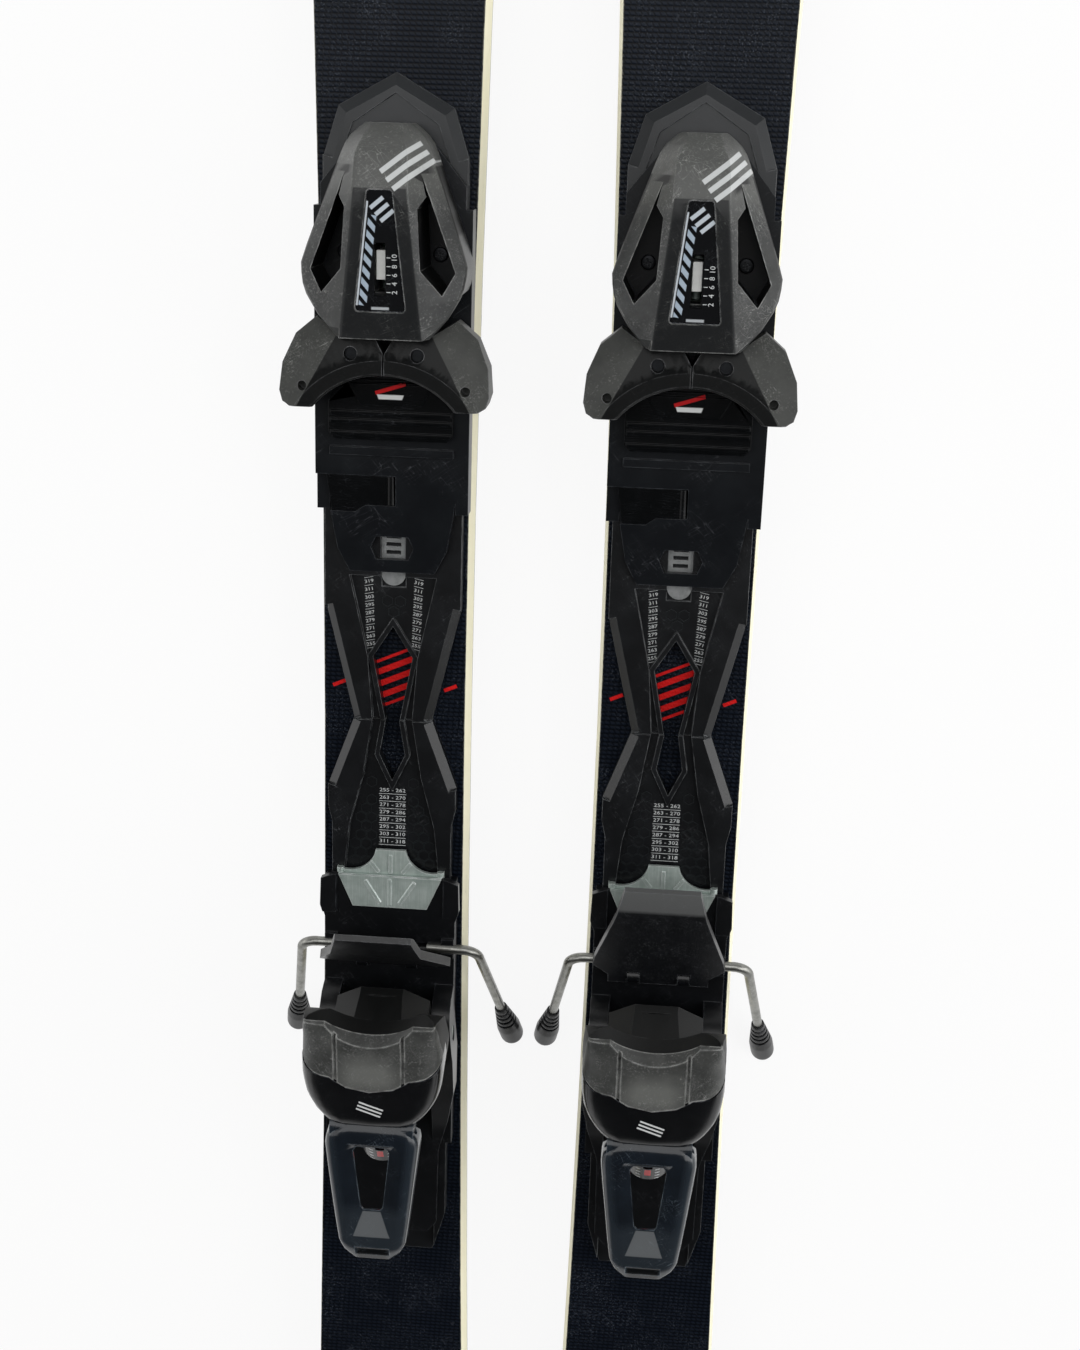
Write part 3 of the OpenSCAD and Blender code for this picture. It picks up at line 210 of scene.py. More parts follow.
class Surface:
    """A material under way: its colour, roughness and relief build up layer by layer."""

    def __init__(self, name: str, colour: str, roughness: float) -> None:
        """Starts a material of one colour.

        Args:
            name: Name of the real material.
            colour: Bare colour as an sRGB hex value.
            roughness: Bare roughness.
        """
        self.material = bpy.data.materials.new(name)
        self.material.use_nodes = True
        self.tree = self.material.node_tree
        self.shader = self.tree.nodes["Principled BSDF"]
        self.colour: Any = linear(colour)
        self.roughness: Any = roughness
        self.height: Field | None = None
        place = add(self.tree, "ShaderNodeTexCoord").node.outputs["Object"]
        self.point = add(self.tree, "ShaderNodeVectorMath", {"operation": "SCALE"}, {0: place, "Scale": 1 / MM})
        x, self.y, self.z = self.apart(self.point)
        self.x = x - x.work("SIGN") * HALF_SPACING
        self.on_ski = add(self.tree, "ShaderNodeCombineXYZ", None,
                          {0: self.x.socket, 1: self.y.socket, 2: self.z.socket})

    def apart(self, point: Socket) -> list[Field]:
        """Takes a point's three coordinates apart."""
        return [Field(socket) for socket in add(self.tree, "ShaderNodeSeparateXYZ", None, {0: point}).node.outputs]

    def turned(self, point: Socket, place: Sequence[float], turn: float,
               sizes: Sequence[float]) -> Socket:
        """Moves, turns and scales the frame that a pattern is drawn in.

        Args:
            point: Point on the surface.
            place: Origin of the pattern in millimetres.
            turn: Turn about the upright, in degrees.
            sizes: Length of the pattern's unit along each axis.

        Returns:
            The point in the pattern's frame.
        """
        return add(self.tree, "ShaderNodeMapping", {"vector_type": "TEXTURE"},
                   {"Vector": point, "Location": tuple(place), "Rotation": (0.0, 0.0, math.radians(turn)),
                    "Scale": tuple(sizes)})

    def cloud(self, sizes: Sequence[float], detail: float = 2.0, turn: float = 0.0) -> Field:
        """Gives soft noise of a real size.

        Args:
            sizes: Size of its blots along each axis, in millimetres.
            detail: Finer octaves.
            turn: Turn about the upright, in degrees.

        Returns:
            Values round 0.5.
        """
        point = self.turned(self.point, (0.0, 0.0, 0.0), turn, sizes)
        return Field(add(self.tree, "ShaderNodeTexNoise", None,
                         {"Vector": point, "Scale": 1.0, "Detail": detail, "Roughness": 0.6}))

    def paint(self, mask: Field, colour: str, roughness: float | None = None) -> None:
        """Covers what a mask marks.

        Args:
            mask: How much is covered, from 0 to 1.
            colour: Colour on top as an sRGB hex value.
            roughness: Roughness on top, or None to leave it.
        """
        self.colour = add(self.tree, "ShaderNodeMix", {"data_type": "RGBA"},
                          {0: mask.socket, 6: self.colour, 7: linear(colour)})
        if roughness is not None:
            self.roughness = add(self.tree, "ShaderNodeMix", None,
                                 {0: mask.socket, 2: self.roughness, 3: roughness})

    def emboss(self, mask: Field, depth_mm: float) -> None:
        """Raises what a mask marks, or sinks it where the depth is negative."""
        step = mask * depth_mm
        self.height = step if self.height is None else self.height + step

    def done(self) -> bpy.types.Material:
        """Wires the layers to the shader.

        Returns:
            The finished material.
        """
        for socket, value in (("Base Color", self.colour), ("Roughness", self.roughness)):
            if isinstance(value, Socket):
                self.tree.links.new(value, self.shader.inputs[socket])
            else:
                self.shader.inputs[socket].default_value = value
        if self.height is not None:
            bump = add(self.tree, "ShaderNodeBump", None,
                       {"Height": self.height.socket, "Distance": MM, "Strength": 1.0})
            self.tree.links.new(bump, self.shader.inputs["Normal"])
        return self.material


class Layer(ABC):
    """One thing that lies on a surface or shows in it."""

    @abstractmethod
    def lay(self, surface: Surface) -> None:
        """Adds the layer to a surface.

        Args:
            surface: Material under way.
        """


@dataclass(frozen=True)
class Mottle(Layer):
    """Uneven colour, as handling and dust leave it."""

    colour: str
    size_mm: float
    amount: float = 0.5
    roughness: float | None = None

    def lay(self, surface: Surface) -> None:
        """Adds the layer to a surface."""
        blots = surface.cloud((self.size_mm,) * 3, 6.0).mapped(*BLOTS)
        surface.paint(blots * self.amount, self.colour, self.roughness)


@dataclass(frozen=True)
class Grain(Layer):
    """Fine spark-eroded texture of a mould, drawn as coarse as it needs to show."""

    size_mm: float
    depth_mm: float

    def lay(self, surface: Surface) -> None:
        """Adds the layer to a surface."""
        surface.emboss(surface.cloud((self.size_mm,) * 3, 1.0), self.depth_mm)


@dataclass(frozen=True)
class Brushed(Layer):
    """Long fine lines that rolling or drawing leaves in metal."""

    line_mm: tuple[float, float, float]
    depth_mm: float
    colour: str

    def lay(self, surface: Surface) -> None:
        """Adds the layer to a surface."""
        lines = surface.cloud(self.line_mm, 3.0)
        surface.emboss(lines, self.depth_mm)
        surface.paint(lines.mapped(*DRAWN), self.colour)


@dataclass(frozen=True)
class Scratches(Layer):
    """Thin stray lines from boots, edges and poles, denser in some places."""

    colour: str
    length_mm: float
    amount: float
    turns: tuple[float, ...] = (35.0, -50.0)
    width: float = 0.006
    spread: float = 1.4
    slender: float = 9.0

    def lay(self, surface: Surface) -> None:
        """Adds the layer to a surface."""
        places = surface.cloud((self.length_mm * self.spread,) * 3, 3.0).mapped(*SCRATCHED)
        thin = self.length_mm / self.slender
        for turn in self.turns:
            stretch = surface.cloud((self.length_mm, thin, thin), 0.0, turn)
            line = stretch.within(0.5 - self.width, 0.5 + self.width, self.width)
            surface.paint(line * places * self.amount, self.colour)


@dataclass(frozen=True)
class WornEdges(Layer):
    """Edges painted a paler colour in patches: rubbed wear on most finishes, and a painted highlight on the
    zinc-plated steel and the window.
    """

    colour: str
    width_mm: float
    amount: float
    patch_mm: float = 6.0

    def lay(self, surface: Surface) -> None:
        """Adds the layer to a surface."""
        tree = surface.tree
        rounded = add(tree, "ShaderNodeBevel", {"samples": 6}, {"Radius": self.width_mm * MM})
        straight = add(tree, "ShaderNodeNewGeometry").node.outputs["Normal"]
        same = add(tree, "ShaderNodeVectorMath", {"operation": "DOT_PRODUCT"}, {0: rounded, 1: straight})
        # Paler band along edges: wear on most finishes, a painted highlight on the zinc and the window.
        wear_and_highlight = Field(same.node.outputs["Value"]).mapped(*EDGE_WEAR_AND_HIGHLIGHT)
        patches = surface.cloud((self.patch_mm,) * 3, 6.0).mapped(*WEAR_AND_HIGHLIGHT_PATCHES)
        surface.paint(wear_and_highlight * patches * self.amount, self.colour)


@dataclass(frozen=True)
class Zone(Layer):
    """Painted or tinted field that tapers along the ski, measured from the ski's centre line."""

    colour: str
    start: tuple[float, float]
    end: tuple[float, float]
    amount: float = 1.0
    soft: float = 0.4
    roughness: float | None = None
    way: Way = Way.INSIDE
    walls_only: bool = False

    def mask(self, surface: Surface) -> Field:
        """Marks the field.

        Args:
            surface: Surface that it lies on.

        Returns:
            Value that is 1 in the field.
        """
        (y0, half0), (y1, half1) = self.start, self.end
        room = (surface.y.mapped(y0, y1, half0, half1) - abs(surface.x)) * self.way.value
        marked = room.mapped(-self.soft / 2, self.soft / 2) * surface.y.within(min(y0, y1), max(y0, y1), self.soft)
        if self.walls_only:
            upright = surface.apart(add(surface.tree, "ShaderNodeNewGeometry").node.outputs["Normal"])[2]
            marked = marked * abs(upright).mapped(*WALL)
        return marked

    def lay(self, surface: Surface) -> None:
        """Adds the layer to a surface."""
        surface.paint(self.mask(surface) * self.amount, self.colour, self.roughness)


@dataclass(frozen=True)
class Clear(Zone):
    """Unprinted field of a window, which shows what lies under it."""

    def lay(self, surface: Surface) -> None:
        """Adds the layer to a surface."""
        seen = (self.mask(surface) * self.amount).mapped(0.0, 1.0, 1.0, 0.0)
        surface.tree.links.new(seen.socket, surface.shader.inputs["Alpha"])


@dataclass(frozen=True)
class Below(Layer):
    """Everything under a plane that may slope along the ski, in another colour."""

    colour: str
    level: float
    roughness: float
    pivot: tuple[float, float] = (0.0, 0.0)
    pitch: float = 0.0
    soft: float = 0.6

    def lay(self, surface: Surface) -> None:
        """Adds the layer to a surface."""
        (y, z), pitch = self.pivot, math.radians(self.pitch)
        height = (surface.z - z) * math.cos(pitch) - (surface.y - y) * math.sin(pitch)
        under = height.mapped(self.level + self.soft / 2, self.level - self.soft / 2)
        surface.paint(under, self.colour, self.roughness)


@dataclass(frozen=True)
class Scuffs(Layer):
    """Fine pale specks in patches, drawn as coarse as they need to show."""

    colour: str
    size_mm: float
    amount: float
    patch_mm: float = 16.0

    def lay(self, surface: Surface) -> None:
        """Adds the layer to a surface."""
        specks = surface.cloud((self.size_mm,) * 3, 2.0).mapped(*SPECKS)
        patches = surface.cloud((self.patch_mm,) * 3, 4.0).mapped(*SCUFFED)
        surface.paint(specks * patches * self.amount, self.colour)


@dataclass(frozen=True)
class Bars(Layer):
    """Printed parallel bars in a slanting field."""

    colour: str
    centre: tuple[float, float]
    size: tuple[float, float]
    turn: float
    pitch_mm: float
    fill: float
    amount: float = 1.0
    soft: float = 0.25
    lean: float = 0.0

    def lay(self, surface: Surface) -> None:
        """Adds the layer to a surface."""
        point = surface.turned(surface.on_ski, (*self.centre, 0.0), self.turn, (1.0, 1.0, 1.0))
        u, v, _ = surface.apart(point)
        wide, long = self.size
        bar_half = self.pitch_mm * self.fill / 2
        stroke = (v + u * self.lean).work("WRAP", self.pitch_mm / 2, -self.pitch_mm / 2)
        bar = stroke.within(-bar_half, bar_half, self.soft)
        field_mask = u.within(-wide / 2, wide / 2, self.soft) * v.within(-long / 2, long / 2, self.soft)
        surface.paint(bar * field_mask * self.amount, self.colour)


@dataclass(frozen=True)
class DashRows(Layer):
    """Embossed rows of short slanting dashes, paler where the film catches the light."""

    colour: str
    row_mm: float
    dash_mm: float
    slant: float
    depth_mm: float
    amount: float

    def lay(self, surface: Surface) -> None:
        """Adds the layer to a surface."""
        rows = surface.y * (1 / self.row_mm)
        steps = (surface.x + surface.y * self.slant) * (1 / self.dash_mm) + rows.work("FLOOR") * 0.5
        mark = rows.work("FRACT").within(*ROW_SPAN) * steps.work("FRACT").within(*DASH_SPAN)
        surface.emboss(mark, self.depth_mm)
        surface.paint(mark * self.amount, self.colour)


@dataclass(frozen=True)
class Finish:
    """A real material: how it was made, and what wear and print lie on it."""

    name: str
    colour: str
    roughness: float
    layers: tuple[Layer, ...] = ()
    metallic: float = 0.0
    gloss: float = 0.5
    coat: float = 0.0
    coat_roughness: float = 0.05

    def make(self) -> bpy.types.Material:
        """Builds the material with its layers in order.

        Returns:
            The node material.
        """
        surface = Surface(self.name, self.colour, self.roughness)
        for socket, value in (("Metallic", self.metallic), ("Specular IOR Level", self.gloss),
                              ("Coat Weight", self.coat), ("Coat Roughness", self.coat_roughness)):
            surface.shader.inputs[socket].default_value = value
        for layer in self.layers:
            layer.lay(surface)
        return surface.done()


# Sintered polyethylene, ground on a stone: satin black with fine lengthwise structure.
SINTERED_BASE = Finish("sintered_polyethylene", "#17181a", 0.42,
                       (Brushed((0.7, 60.0, 0.7), 0.05, "#232427"), Mottle("#2b2c2e", 30.0, 0.35)))
# Hardened steel, ground and a little tarnished: bright with lines along the ski.
EDGE_STEEL = Finish("ground_edge_steel", "#9da1a5", 0.3,
                    (Brushed((0.5, 40.0, 0.5), 0.02, "#c2c5c8"), Mottle("#6f5a48", 14.0, 0.25, 0.5)), 1.0)
# Ash strips, sawn: pale wood with long grain.
ASH_CORE = Finish("ash_core", "#c39b63", 0.6, (Brushed((2.2, 90.0, 2.2), 0.05, "#a67c47"),))
# Phenol sidewall, milled and aged: cream plastic with small dirty marks.
PHENOL_SIDEWALL = Finish("phenol_sidewall", "#fbf6d8", 0.5,
                         (Mottle("#f7f0cb", 25.0, 0.5), Scratches("#b3aa86", 26.0, 0.4, (88.0,)),
                          WornEdges("#e2d8aa", 0.5, 0.4, 4.0)))
# Printed polyamide film, hot pressed: near-black navy with embossed dashes and chipped edges.
TOPSHEET_FILM = Finish("printed_topsheet_film", "#03050a", 0.3,
                       (DashRows("#171d27", 2.3, 2.8, 0.55, 0.1, 0.9), Mottle("#080c14", 60.0, 0.4),
                        Scuffs("#5f656f", 1.0, 0.45, 22.0), Scratches("#5a5f68", 18.0, 0.4),
                        WornEdges("#a39f92", 0.9, 0.9, 3.0),
                        Bars("#c81d1d", (0.0, -73.0), (30.0, 24.0), 24.0, 6.0, 0.5),
                        *(Bars("#c81d1d", (x, -77.0), (7.0, 3.4), 24.0, 3.4, 0.55) for x in (-28.5, 28.5))),
                       gloss=0.1)
# Glass-filled nylon, moulded with a fine texture: satin black that goes grey on its edges, with its front slopes and
# tray painted paler as a highlight.
RAIL_NYLON = Finish("moulded_rail_nylon", "#0b0c0e", 0.3,
                    (Grain(0.7, 0.03), Mottle("#15171a", 18.0, 0.5, 0.38), Scratches("#5d5f62", 12.0, 0.45),
                     # painted highlight: the front slopes and tray of the rail, paler
                     Zone("#2a2c2e", (TOE_REAR + 66.0, 40.0), (TOE_REAR + 124.0, 40.0), 0.8, 8.0),
                     WornEdges("#7a7d7f", 0.6, 0.85, 6.0)), gloss=0.38)
# The same nylon in the rails' shallow relief, painted a little paler as a highlight, so that the hexagons just show.
HEXAGON_NYLON = Finish("moulded_hexagon_nylon", "#14181a", 0.36, (Grain(0.6, 0.02), Mottle("#0b0e10", 6.0, 0.7)),
                       gloss=0.4)
# The toe carriage's nylon: as black, less glossy, with thin pale edges.
CARRIAGE_NYLON = Finish("moulded_carriage_nylon", "#0e1013", 0.3,
                        (Grain(0.8, 0.02), Mottle("#15181b", 16.0, 0.5, 0.36), Scratches("#5a5c60", 16.0, 0.4),
                         WornEdges("#54575b", 0.6, 0.7, 5.0)), gloss=0.18)
# Acetal, moulded smooth: deeper black than the nylon round it, with a red and white mark of plain bars.
GLIDE_ACETAL = Finish("moulded_glide_acetal", "#050607", 0.26,
                      (Grain(0.6, 0.02), Mottle("#0d0e10", 10.0, 0.5), Scratches("#3c3e42", 14.0, 0.4, (4.0, -8.0)),
                       Bars("#b81f22", (0.0, TOE_REAR - 26.4), (15.0, 3.0), 18.0, 3.0, 0.6),
                       Zone("#cfd1d0", (TOE_REAR - 29.4, 6.4), (TOE_REAR - 31.6, 5.6)),
                       WornEdges("#2c2e31", 0.5, 0.6, 5.0)), gloss=0.12)
# Rolled steel strip, zinc plated: blue-white metal with fine lines, its near-white edges a painted highlight.
ZINC_STEEL = Finish("zinc_plated_steel", "#a9b4af", 0.44,
                    (Brushed((0.5, 16.0, 0.5), 0.02, "#c0cac5"), Mottle("#74817b", 13.0, 0.6, 0.55),
                     # painted highlight: near-white edges on the zinc
                     WornEdges("#f0f3f3", 0.7, 0.85)), 0.55)
# Pressed and sintered steel: dull grey teeth with brighter tops.
RACK_STEEL = Finish("sintered_rack_steel", "#8d8f8f", 0.46,
                    (Grain(0.5, 0.02), Mottle("#636566", 4.0, 0.6), WornEdges("#b7b9b9", 0.4, 0.8, 2.0)), 0.6)
# Steel screws, blackened: dark metal, bare at its rims.
SCREW_STEEL = Finish("blackened_screw_steel", "#232528", 0.36,
                     (Mottle("#17181a", 3.0, 0.7), WornEdges("#6e7072", 0.4, 0.7, 2.0)), 0.8)
# Spring wire, shot peened: grey metal with a fine dimpled skin.
SPRING_STEEL = Finish("shot_spring_steel", "#85898d", 0.38, (Grain(0.4, 0.02), Mottle("#5d6165", 4.0, 0.5)), 1.0)
# Glass-filled nylon housing, moulded in grey: worn charcoal with a darker insert and a printed corner; its nose is
# painted paler as a highlight, and the inner walls of its openings are painted black as shade.
HOUSING_NYLON = Finish(
    "moulded_housing_nylon", "#343535", 0.4,
    (Grain(0.9, 0.04), Mottle("#474847", 11.0, 0.6),
     # painted highlight: the housing's nose, paler
     Zone("#565755", (TOE_REAR + 62.0, 40.0), (TOE_REAR + 98.0, 40.0), 0.75, 12.0),
     Scuffs("#8d8e8b", 1.1, 0.5), Scratches("#a5a6a3", 18.0, 0.7), Scratches("#b0b1ae", 7.0, 0.6, (70.0, 10.0)),
     Zone("#0d0f11", (TOE_REAR, 19.0), (TOE_REAR + 66.5, 11.8), 0.92, 0.6, 0.3),
     # painted shade: the inner walls of the housing's openings, near-black
     Zone("#060607", (TOE_REAR + 16.0, 33.5), (TOE_REAR + 76.0, 33.5), 1.0, 0.6, 0.5, walls_only=True),
     Bars("#c8cbcb", (11.0, TOE_REAR + 76.0), (20.0, 14.0), 38.0, 4.6, 0.5, 0.9),
     Scratches("#6e6f6d", 9.0, 0.6, (20.0, -65.0)), WornEdges("#9a9b99", 0.9, 0.8, 5.0)), gloss=0.28)
# Polycarbonate window, printed from below: glossy dark field with pale bars, an unprinted slot and near-white edges
# that are a painted highlight.
WINDOW_PRINT = Finish(
    "printed_polycarbonate", "#0c0d0f", 0.1,
    (Bars("#a9b8c6", (-5.6, TOE_REAR + 35.0), (3.6, 40.0), -7.0, 5.2, 0.55, 0.9, lean=0.9),
     Bars("#cfd6dc", (-8.0, TOE_REAR + 38.0), (0.8, 46.0), -6.4, 96.0, 1.0, 0.9),
     Bars("#c4ccd3", (1.0, TOE_REAR + 57.5), (7.5, 11.0), 40.0, 3.6, 0.5, 0.9),
     Zone("#b9bec2", (TOE_REAR + 14.6, 4.0), (TOE_REAR + 13.4, 4.0), 0.8),
     # painted highlight: near-white edges on the window
     Scratches("#63676c", 9.0, 0.3), WornEdges("#dfe3e6", 0.5, 0.9, 2.0),
     Clear("#000000", (TOE_REAR + 19.5, 2.5), (TOE_REAR + 43.0, 2.5), 1.0, 0.2)), coat=0.5)
# Nylon wings: black centre, outer shoulders rubbed to a lighter grey.
WING_NYLON = Finish(
    "moulded_wing_nylon", "#434442", 0.42,
    (Grain(0.9, 0.04), Mottle("#333433", 9.0, 0.5), Scuffs("#8b8c87", 1.1, 0.5), Scratches("#a3a4a1", 12.0, 0.7),
     Zone("#08090a", (TOE_REAR + 8.0, 18.0), (TOE_REAR - 34.0, 41.0), 0.94, 0.5, 0.28),
     WornEdges("#7b7c7e", 0.8, 0.8, 5.0)), gloss=0.14)
# Acetal pointers, moulded: plain white and red that read through the windows.
POINTER_WHITE = Finish("moulded_white_acetal", "#e6e7e4", 0.4, (Mottle("#cfd0cc", 5.0, 0.5),))
POINTER_RED = Finish("moulded_red_acetal", "#b3262a", 0.4, (Mottle("#8c1a1e", 5.0, 0.5),))
# Pad printing: pale grey ink, thin in places.
SCALE_PRINT = Finish("pale_pad_print", "#c3c6c6", 0.5, (Mottle("#9a9d9e", 2.5, 0.6),))
# Nylon heel cup, scuffed by boots: mid grey with pale worn rims over a black treadle, and a paler patch mid-crown
# that is a painted highlight.
CUP_NYLON = Finish(
    "moulded_cup_nylon", "#343534", 0.42,
    (Grain(1.0, 0.04), Mottle("#4b4c4a", 9.0, 0.6, 0.5),
     # painted highlight: a paler patch across the middle of the cup's crown
     Zone("#6a6b68", (SEAM + 3.0, 14.5), (SEAM + 20.0, 12.5), 0.75, 11.0), Scuffs("#8c8d8a", 1.2, 0.5),
     Scratches("#979896", 14.0, 0.6), Scratches("#a9aaa8", 6.0, 0.5, (15.0, 80.0)),
     WornEdges("#b0b1ae", 1.3, 1.0, 5.0), Below("#050606", HEEL_LIP, 0.5, HEEL_AXLE, JAW_OPEN),
     WornEdges("#3c3d3e", 0.8, 0.6, 5.0)), gloss=0.32)
# Nylon shell, polished mould: deep gloss black with faint swirls and a mark of plain white bars.
SHELL_NYLON = Finish("polished_shell_nylon", "#07080a", 0.2,
                     (Mottle("#0e0f11", 20.0, 0.6, 0.3), Scratches("#44464a", 15.0, 0.3),
                      Bars("#d9dbdb", (0.0, SEAM - 9.0), (13.0, 5.5), -20.0, 2.2, 0.45, 0.9),
                      *(Bars("#b9bcbe", (x, LEVER_PIN - 31.0), (2.4, 20.0), 0.0, 2.6, 0.25) for x in (5.0, -5.0)),
                      Bars("#d23336", (0.0, LEVER_PIN - 31.0), (3.4, 5.0), 0.0, 8.0, 1.0),
                      WornEdges("#62656a", 0.8, 0.6, 5.0)), gloss=0.4, coat=0.12)
# Polycarbonate lever, smoked: dark blue-grey gloss with a paler rim and a grey ramp behind its window; near-black
# painted shade at its end stands for its notch.
LEVER_POLYCARBONATE = Finish(
    "smoked_lever_polycarbonate", "#10151b", 0.2,
    (Mottle("#1b232c", 16.0, 0.5),
     Zone("#232a31", (LEVER_PIN + 6.0, 20.0), (LEVER_PIN - 70.0, 12.5), 0.8, 4.0, way=Way.OUTSIDE),
     Zone("#252b31", (LEVER_PIN - 46.0, 20.0), (LEVER_PIN - 84.0, 20.0), 0.8, 8.0),
     Zone("#5d6062", (LEVER_PIN - 48.0, 4.6), (LEVER_PIN - 63.0, 9.6), 0.95, 0.6, 0.4),
     # painted shade: near-black at the lever's end, where its notch lies
     Zone("#050607", (LEVER_PIN - 72.5, 8.0), (LEVER_PIN - 82.0, 8.0), 0.95, 0.8),
     Scratches("#77828c", 13.0, 0.35), WornEdges("#6a747c", 0.9, 0.75, 9.0)), gloss=0.4, coat=0.2)
# Spring wire, nickel plated: satin metal with soft drawn lines.
BRAKE_WIRE = Finish("nickel_plated_wire", "#8c8c88", 0.32,
                    (Brushed((0.5, 6.0, 0.5), 0.02, "#a6a6a1"), Mottle("#666662", 5.0, 0.6, 0.45)), 1.0)
# Nylon brake tips: satin black with rubbed rings.
BRAKE_NYLON = Finish("moulded_brake_nylon", "#0d0e10", 0.34,
                     (Grain(0.6, 0.03), Mottle("#17181b", 7.0, 0.5), Scratches("#6c6e71", 9.0, 0.4),
                      WornEdges("#606265", 0.8, 0.8, 4.0)), gloss=0.42)
# The same nylon on the pedal, whose front bar is painted paler as a highlight.
PEDAL_NYLON = Finish("moulded_pedal_nylon", "#0d0e10", 0.34,
                     (Grain(0.6, 0.03), Mottle("#17181b", 7.0, 0.5),
                      # painted highlight: the pedal's front bar, paler
                      Zone("#585959", (PEDAL_FRONT + 1.0, 40.0), (PEDAL_FRONT - 12.0, 40.0), 0.85, 2.0),
                      Scuffs("#55575a", 1.1, 0.4), Scratches("#6c6e71", 9.0, 0.4),
                      WornEdges("#606265", 0.8, 0.8, 4.0)), gloss=0.42)
# Nylon heel base: the deepest black, with faint pale edges.
BASE_NYLON = Finish("moulded_heel_base_nylon", "#08090b", 0.3,
                    (Grain(0.7, 0.03), Mottle("#101114", 10.0, 0.5), Scratches("#55575b", 12.0, 0.4),
                     WornEdges("#4a4d51", 0.8, 0.7, 5.0)), gloss=0.4)


def smoothing(crease_deg: float) -> Tree:
    """Builds the modifier that shades soft curves smooth and keeps hard edges sharp.

    Args:
        crease_deg: Angle from which an edge stays sharp.

    Returns:
        Geometry node group with a mesh in and a mesh out.
    """
    tree = bpy.data.node_groups.new("smooth_by_angle", "GeometryNodeTree")
    tree.interface.new_socket("Geometry", in_out="INPUT", socket_type="NodeSocketGeometry")
    tree.interface.new_socket("Geometry", in_out="OUTPUT", socket_type="NodeSocketGeometry")
    mesh = add(tree, "NodeGroupInput")
    mesh = add(tree, "GeometryNodeSetShadeSmooth", {"domain": Domain.FACE.value}, {0: mesh, "Shade Smooth": True})
    angle = add(tree, "GeometryNodeInputMeshEdgeAngle")
    soft = add(tree, "FunctionNodeCompare", {"operation": "LESS_THAN"}, {0: angle, 1: math.radians(crease_deg)})
    mesh = add(tree, "GeometryNodeSetShadeSmooth", {"domain": Domain.EDGE.value}, {0: mesh, "Shade Smooth": soft})
    tree.nodes.new("NodeGroupOutput")
    tree.links.new(mesh, tree.nodes["Group Output"].inputs[0])
    return tree


class Workshop:
    """Keeps the finishes made so far, and puts them on pieces."""

    def __init__(self) -> None:
        """Starts with an empty shelf."""
        self.shelf: dict[str, bpy.types.Material] = {}
        self.shading: dict[float, Tree] = {}

    def finish(self, piece: Piece, finish: Finish) -> None:
        """Puts one finish all over a piece.

        Args:
            piece: Object to dress.
            finish: Its finish.
        """
        if finish.name not in self.shelf:
            self.shelf[finish.name] = finish.make()
        if not piece.material_slots:
            piece.data.materials.append(self.shelf[finish.name])
        for slot in piece.material_slots:
            slot.link = "OBJECT"
            slot.material = self.shelf[finish.name]

    def soften(self, piece: Piece, edge_mm: float, crease_deg: float) -> None:
        """Closes a CAD mesh, rounds its edges and shades it.

        Args:
            piece: CAD node's object.
            edge_mm: Radius of its edges, or 0 where they stay sharp.
            crease_deg: Angle from which an edge is one.
        """
        weld = piece.modifiers.new("weld", "WELD")
        weld.merge_threshold = WELD_MM * MM
        if edge_mm > 0:
            flats = piece.modifiers.new("flats", "DECIMATE")
            flats.decimate_type = "DISSOLVE"
            flats.angle_limit = math.radians(FLAT_DEG)
            bevel = piece.modifiers.new("edges", "BEVEL")
            bevel.width = edge_mm * MM
            bevel.segments = EDGE_SEGMENTS
            bevel.limit_method = "ANGLE"
            bevel.angle_limit = math.radians(crease_deg + BEVEL_ABOVE_DEG)
        if crease_deg not in self.shading:
            self.shading[crease_deg] = smoothing(crease_deg)
        shade = piece.modifiers.new("shading", "NODES")
        shade.node_group = self.shading[crease_deg]
        flat = piece.modifiers.new("flat_faces", "WEIGHTED_NORMAL")
        flat.keep_sharp = True

    def dress(self, node: str, finish: Finish, edge_mm: float = 0.0, crease_deg: float = 32.0) -> None:
        """Finishes a CAD node.

        Args:
            node: Name of the node.
            finish: Its finish.
            edge_mm: Radius of its edges.
            crease_deg: Angle from which an edge is one.
        """
        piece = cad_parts[node]
        self.finish(piece, finish)
        self.soften(piece, edge_mm, crease_deg)
        log.info("dressed %s in %s", node, finish.name)

    def place(self, piece: Piece, name: str, body: str, slot: str, finish: Finish) -> None:
        """Names a new piece, finishes it and joins it to its body.

        Args:
            piece: New mesh object, in place.
            name: Its name.
            body: CAD body that carries it.
            slot: Record's material slot; not used.
            finish: Its finish.
        """
        piece.name = piece.data.name = name
        self.finish(piece, finish)
        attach(piece, body)
        log.info("made %s on %s", name, body)


def deselect() -> None:
    """Leaves nothing selected."""
    bpy.ops.object.select_all(action="DESELECT")


def pick(*pieces: Piece) -> None:
    """Selects these pieces alone.

    Args:
        pieces: Objects to select, the active one first.
    """
    deselect()
    for piece in pieces:
        piece.select_set(True)
    bpy.context.view_layer.objects.active = pieces[0]


def settle(piece: Piece) -> Piece:
    """Moves a piece's place into its mesh.

    Args:
        piece: Object to settle.

    Returns:
        The same object, at the origin.
    """
    pick(piece)
    bpy.ops.object.transform_apply(location=True, rotation=True, scale=True)
    return piece


def copied(piece: Piece, offset: Vector) -> Piece:
    """Copies a piece with a mesh of its own.

    Args:
        piece: Object to copy.
        offset: Place of the copy in metres.

    Returns:
        The copy.
    """
    copy = piece.copy()
    copy.data = piece.data.copy()
    copy.location = offset
    bpy.context.scene.collection.objects.link(copy)
    return copy


def joined(pieces: Iterable[Piece]) -> Piece:
    """Joins pieces into the first one.

    Args:
        pieces: Mesh objects, at least one.

    Returns:
        The joined object, settled.
    """
    first, *others = pieces
    pick(first, *others)
    bpy.ops.object.join()
    return settle(first)


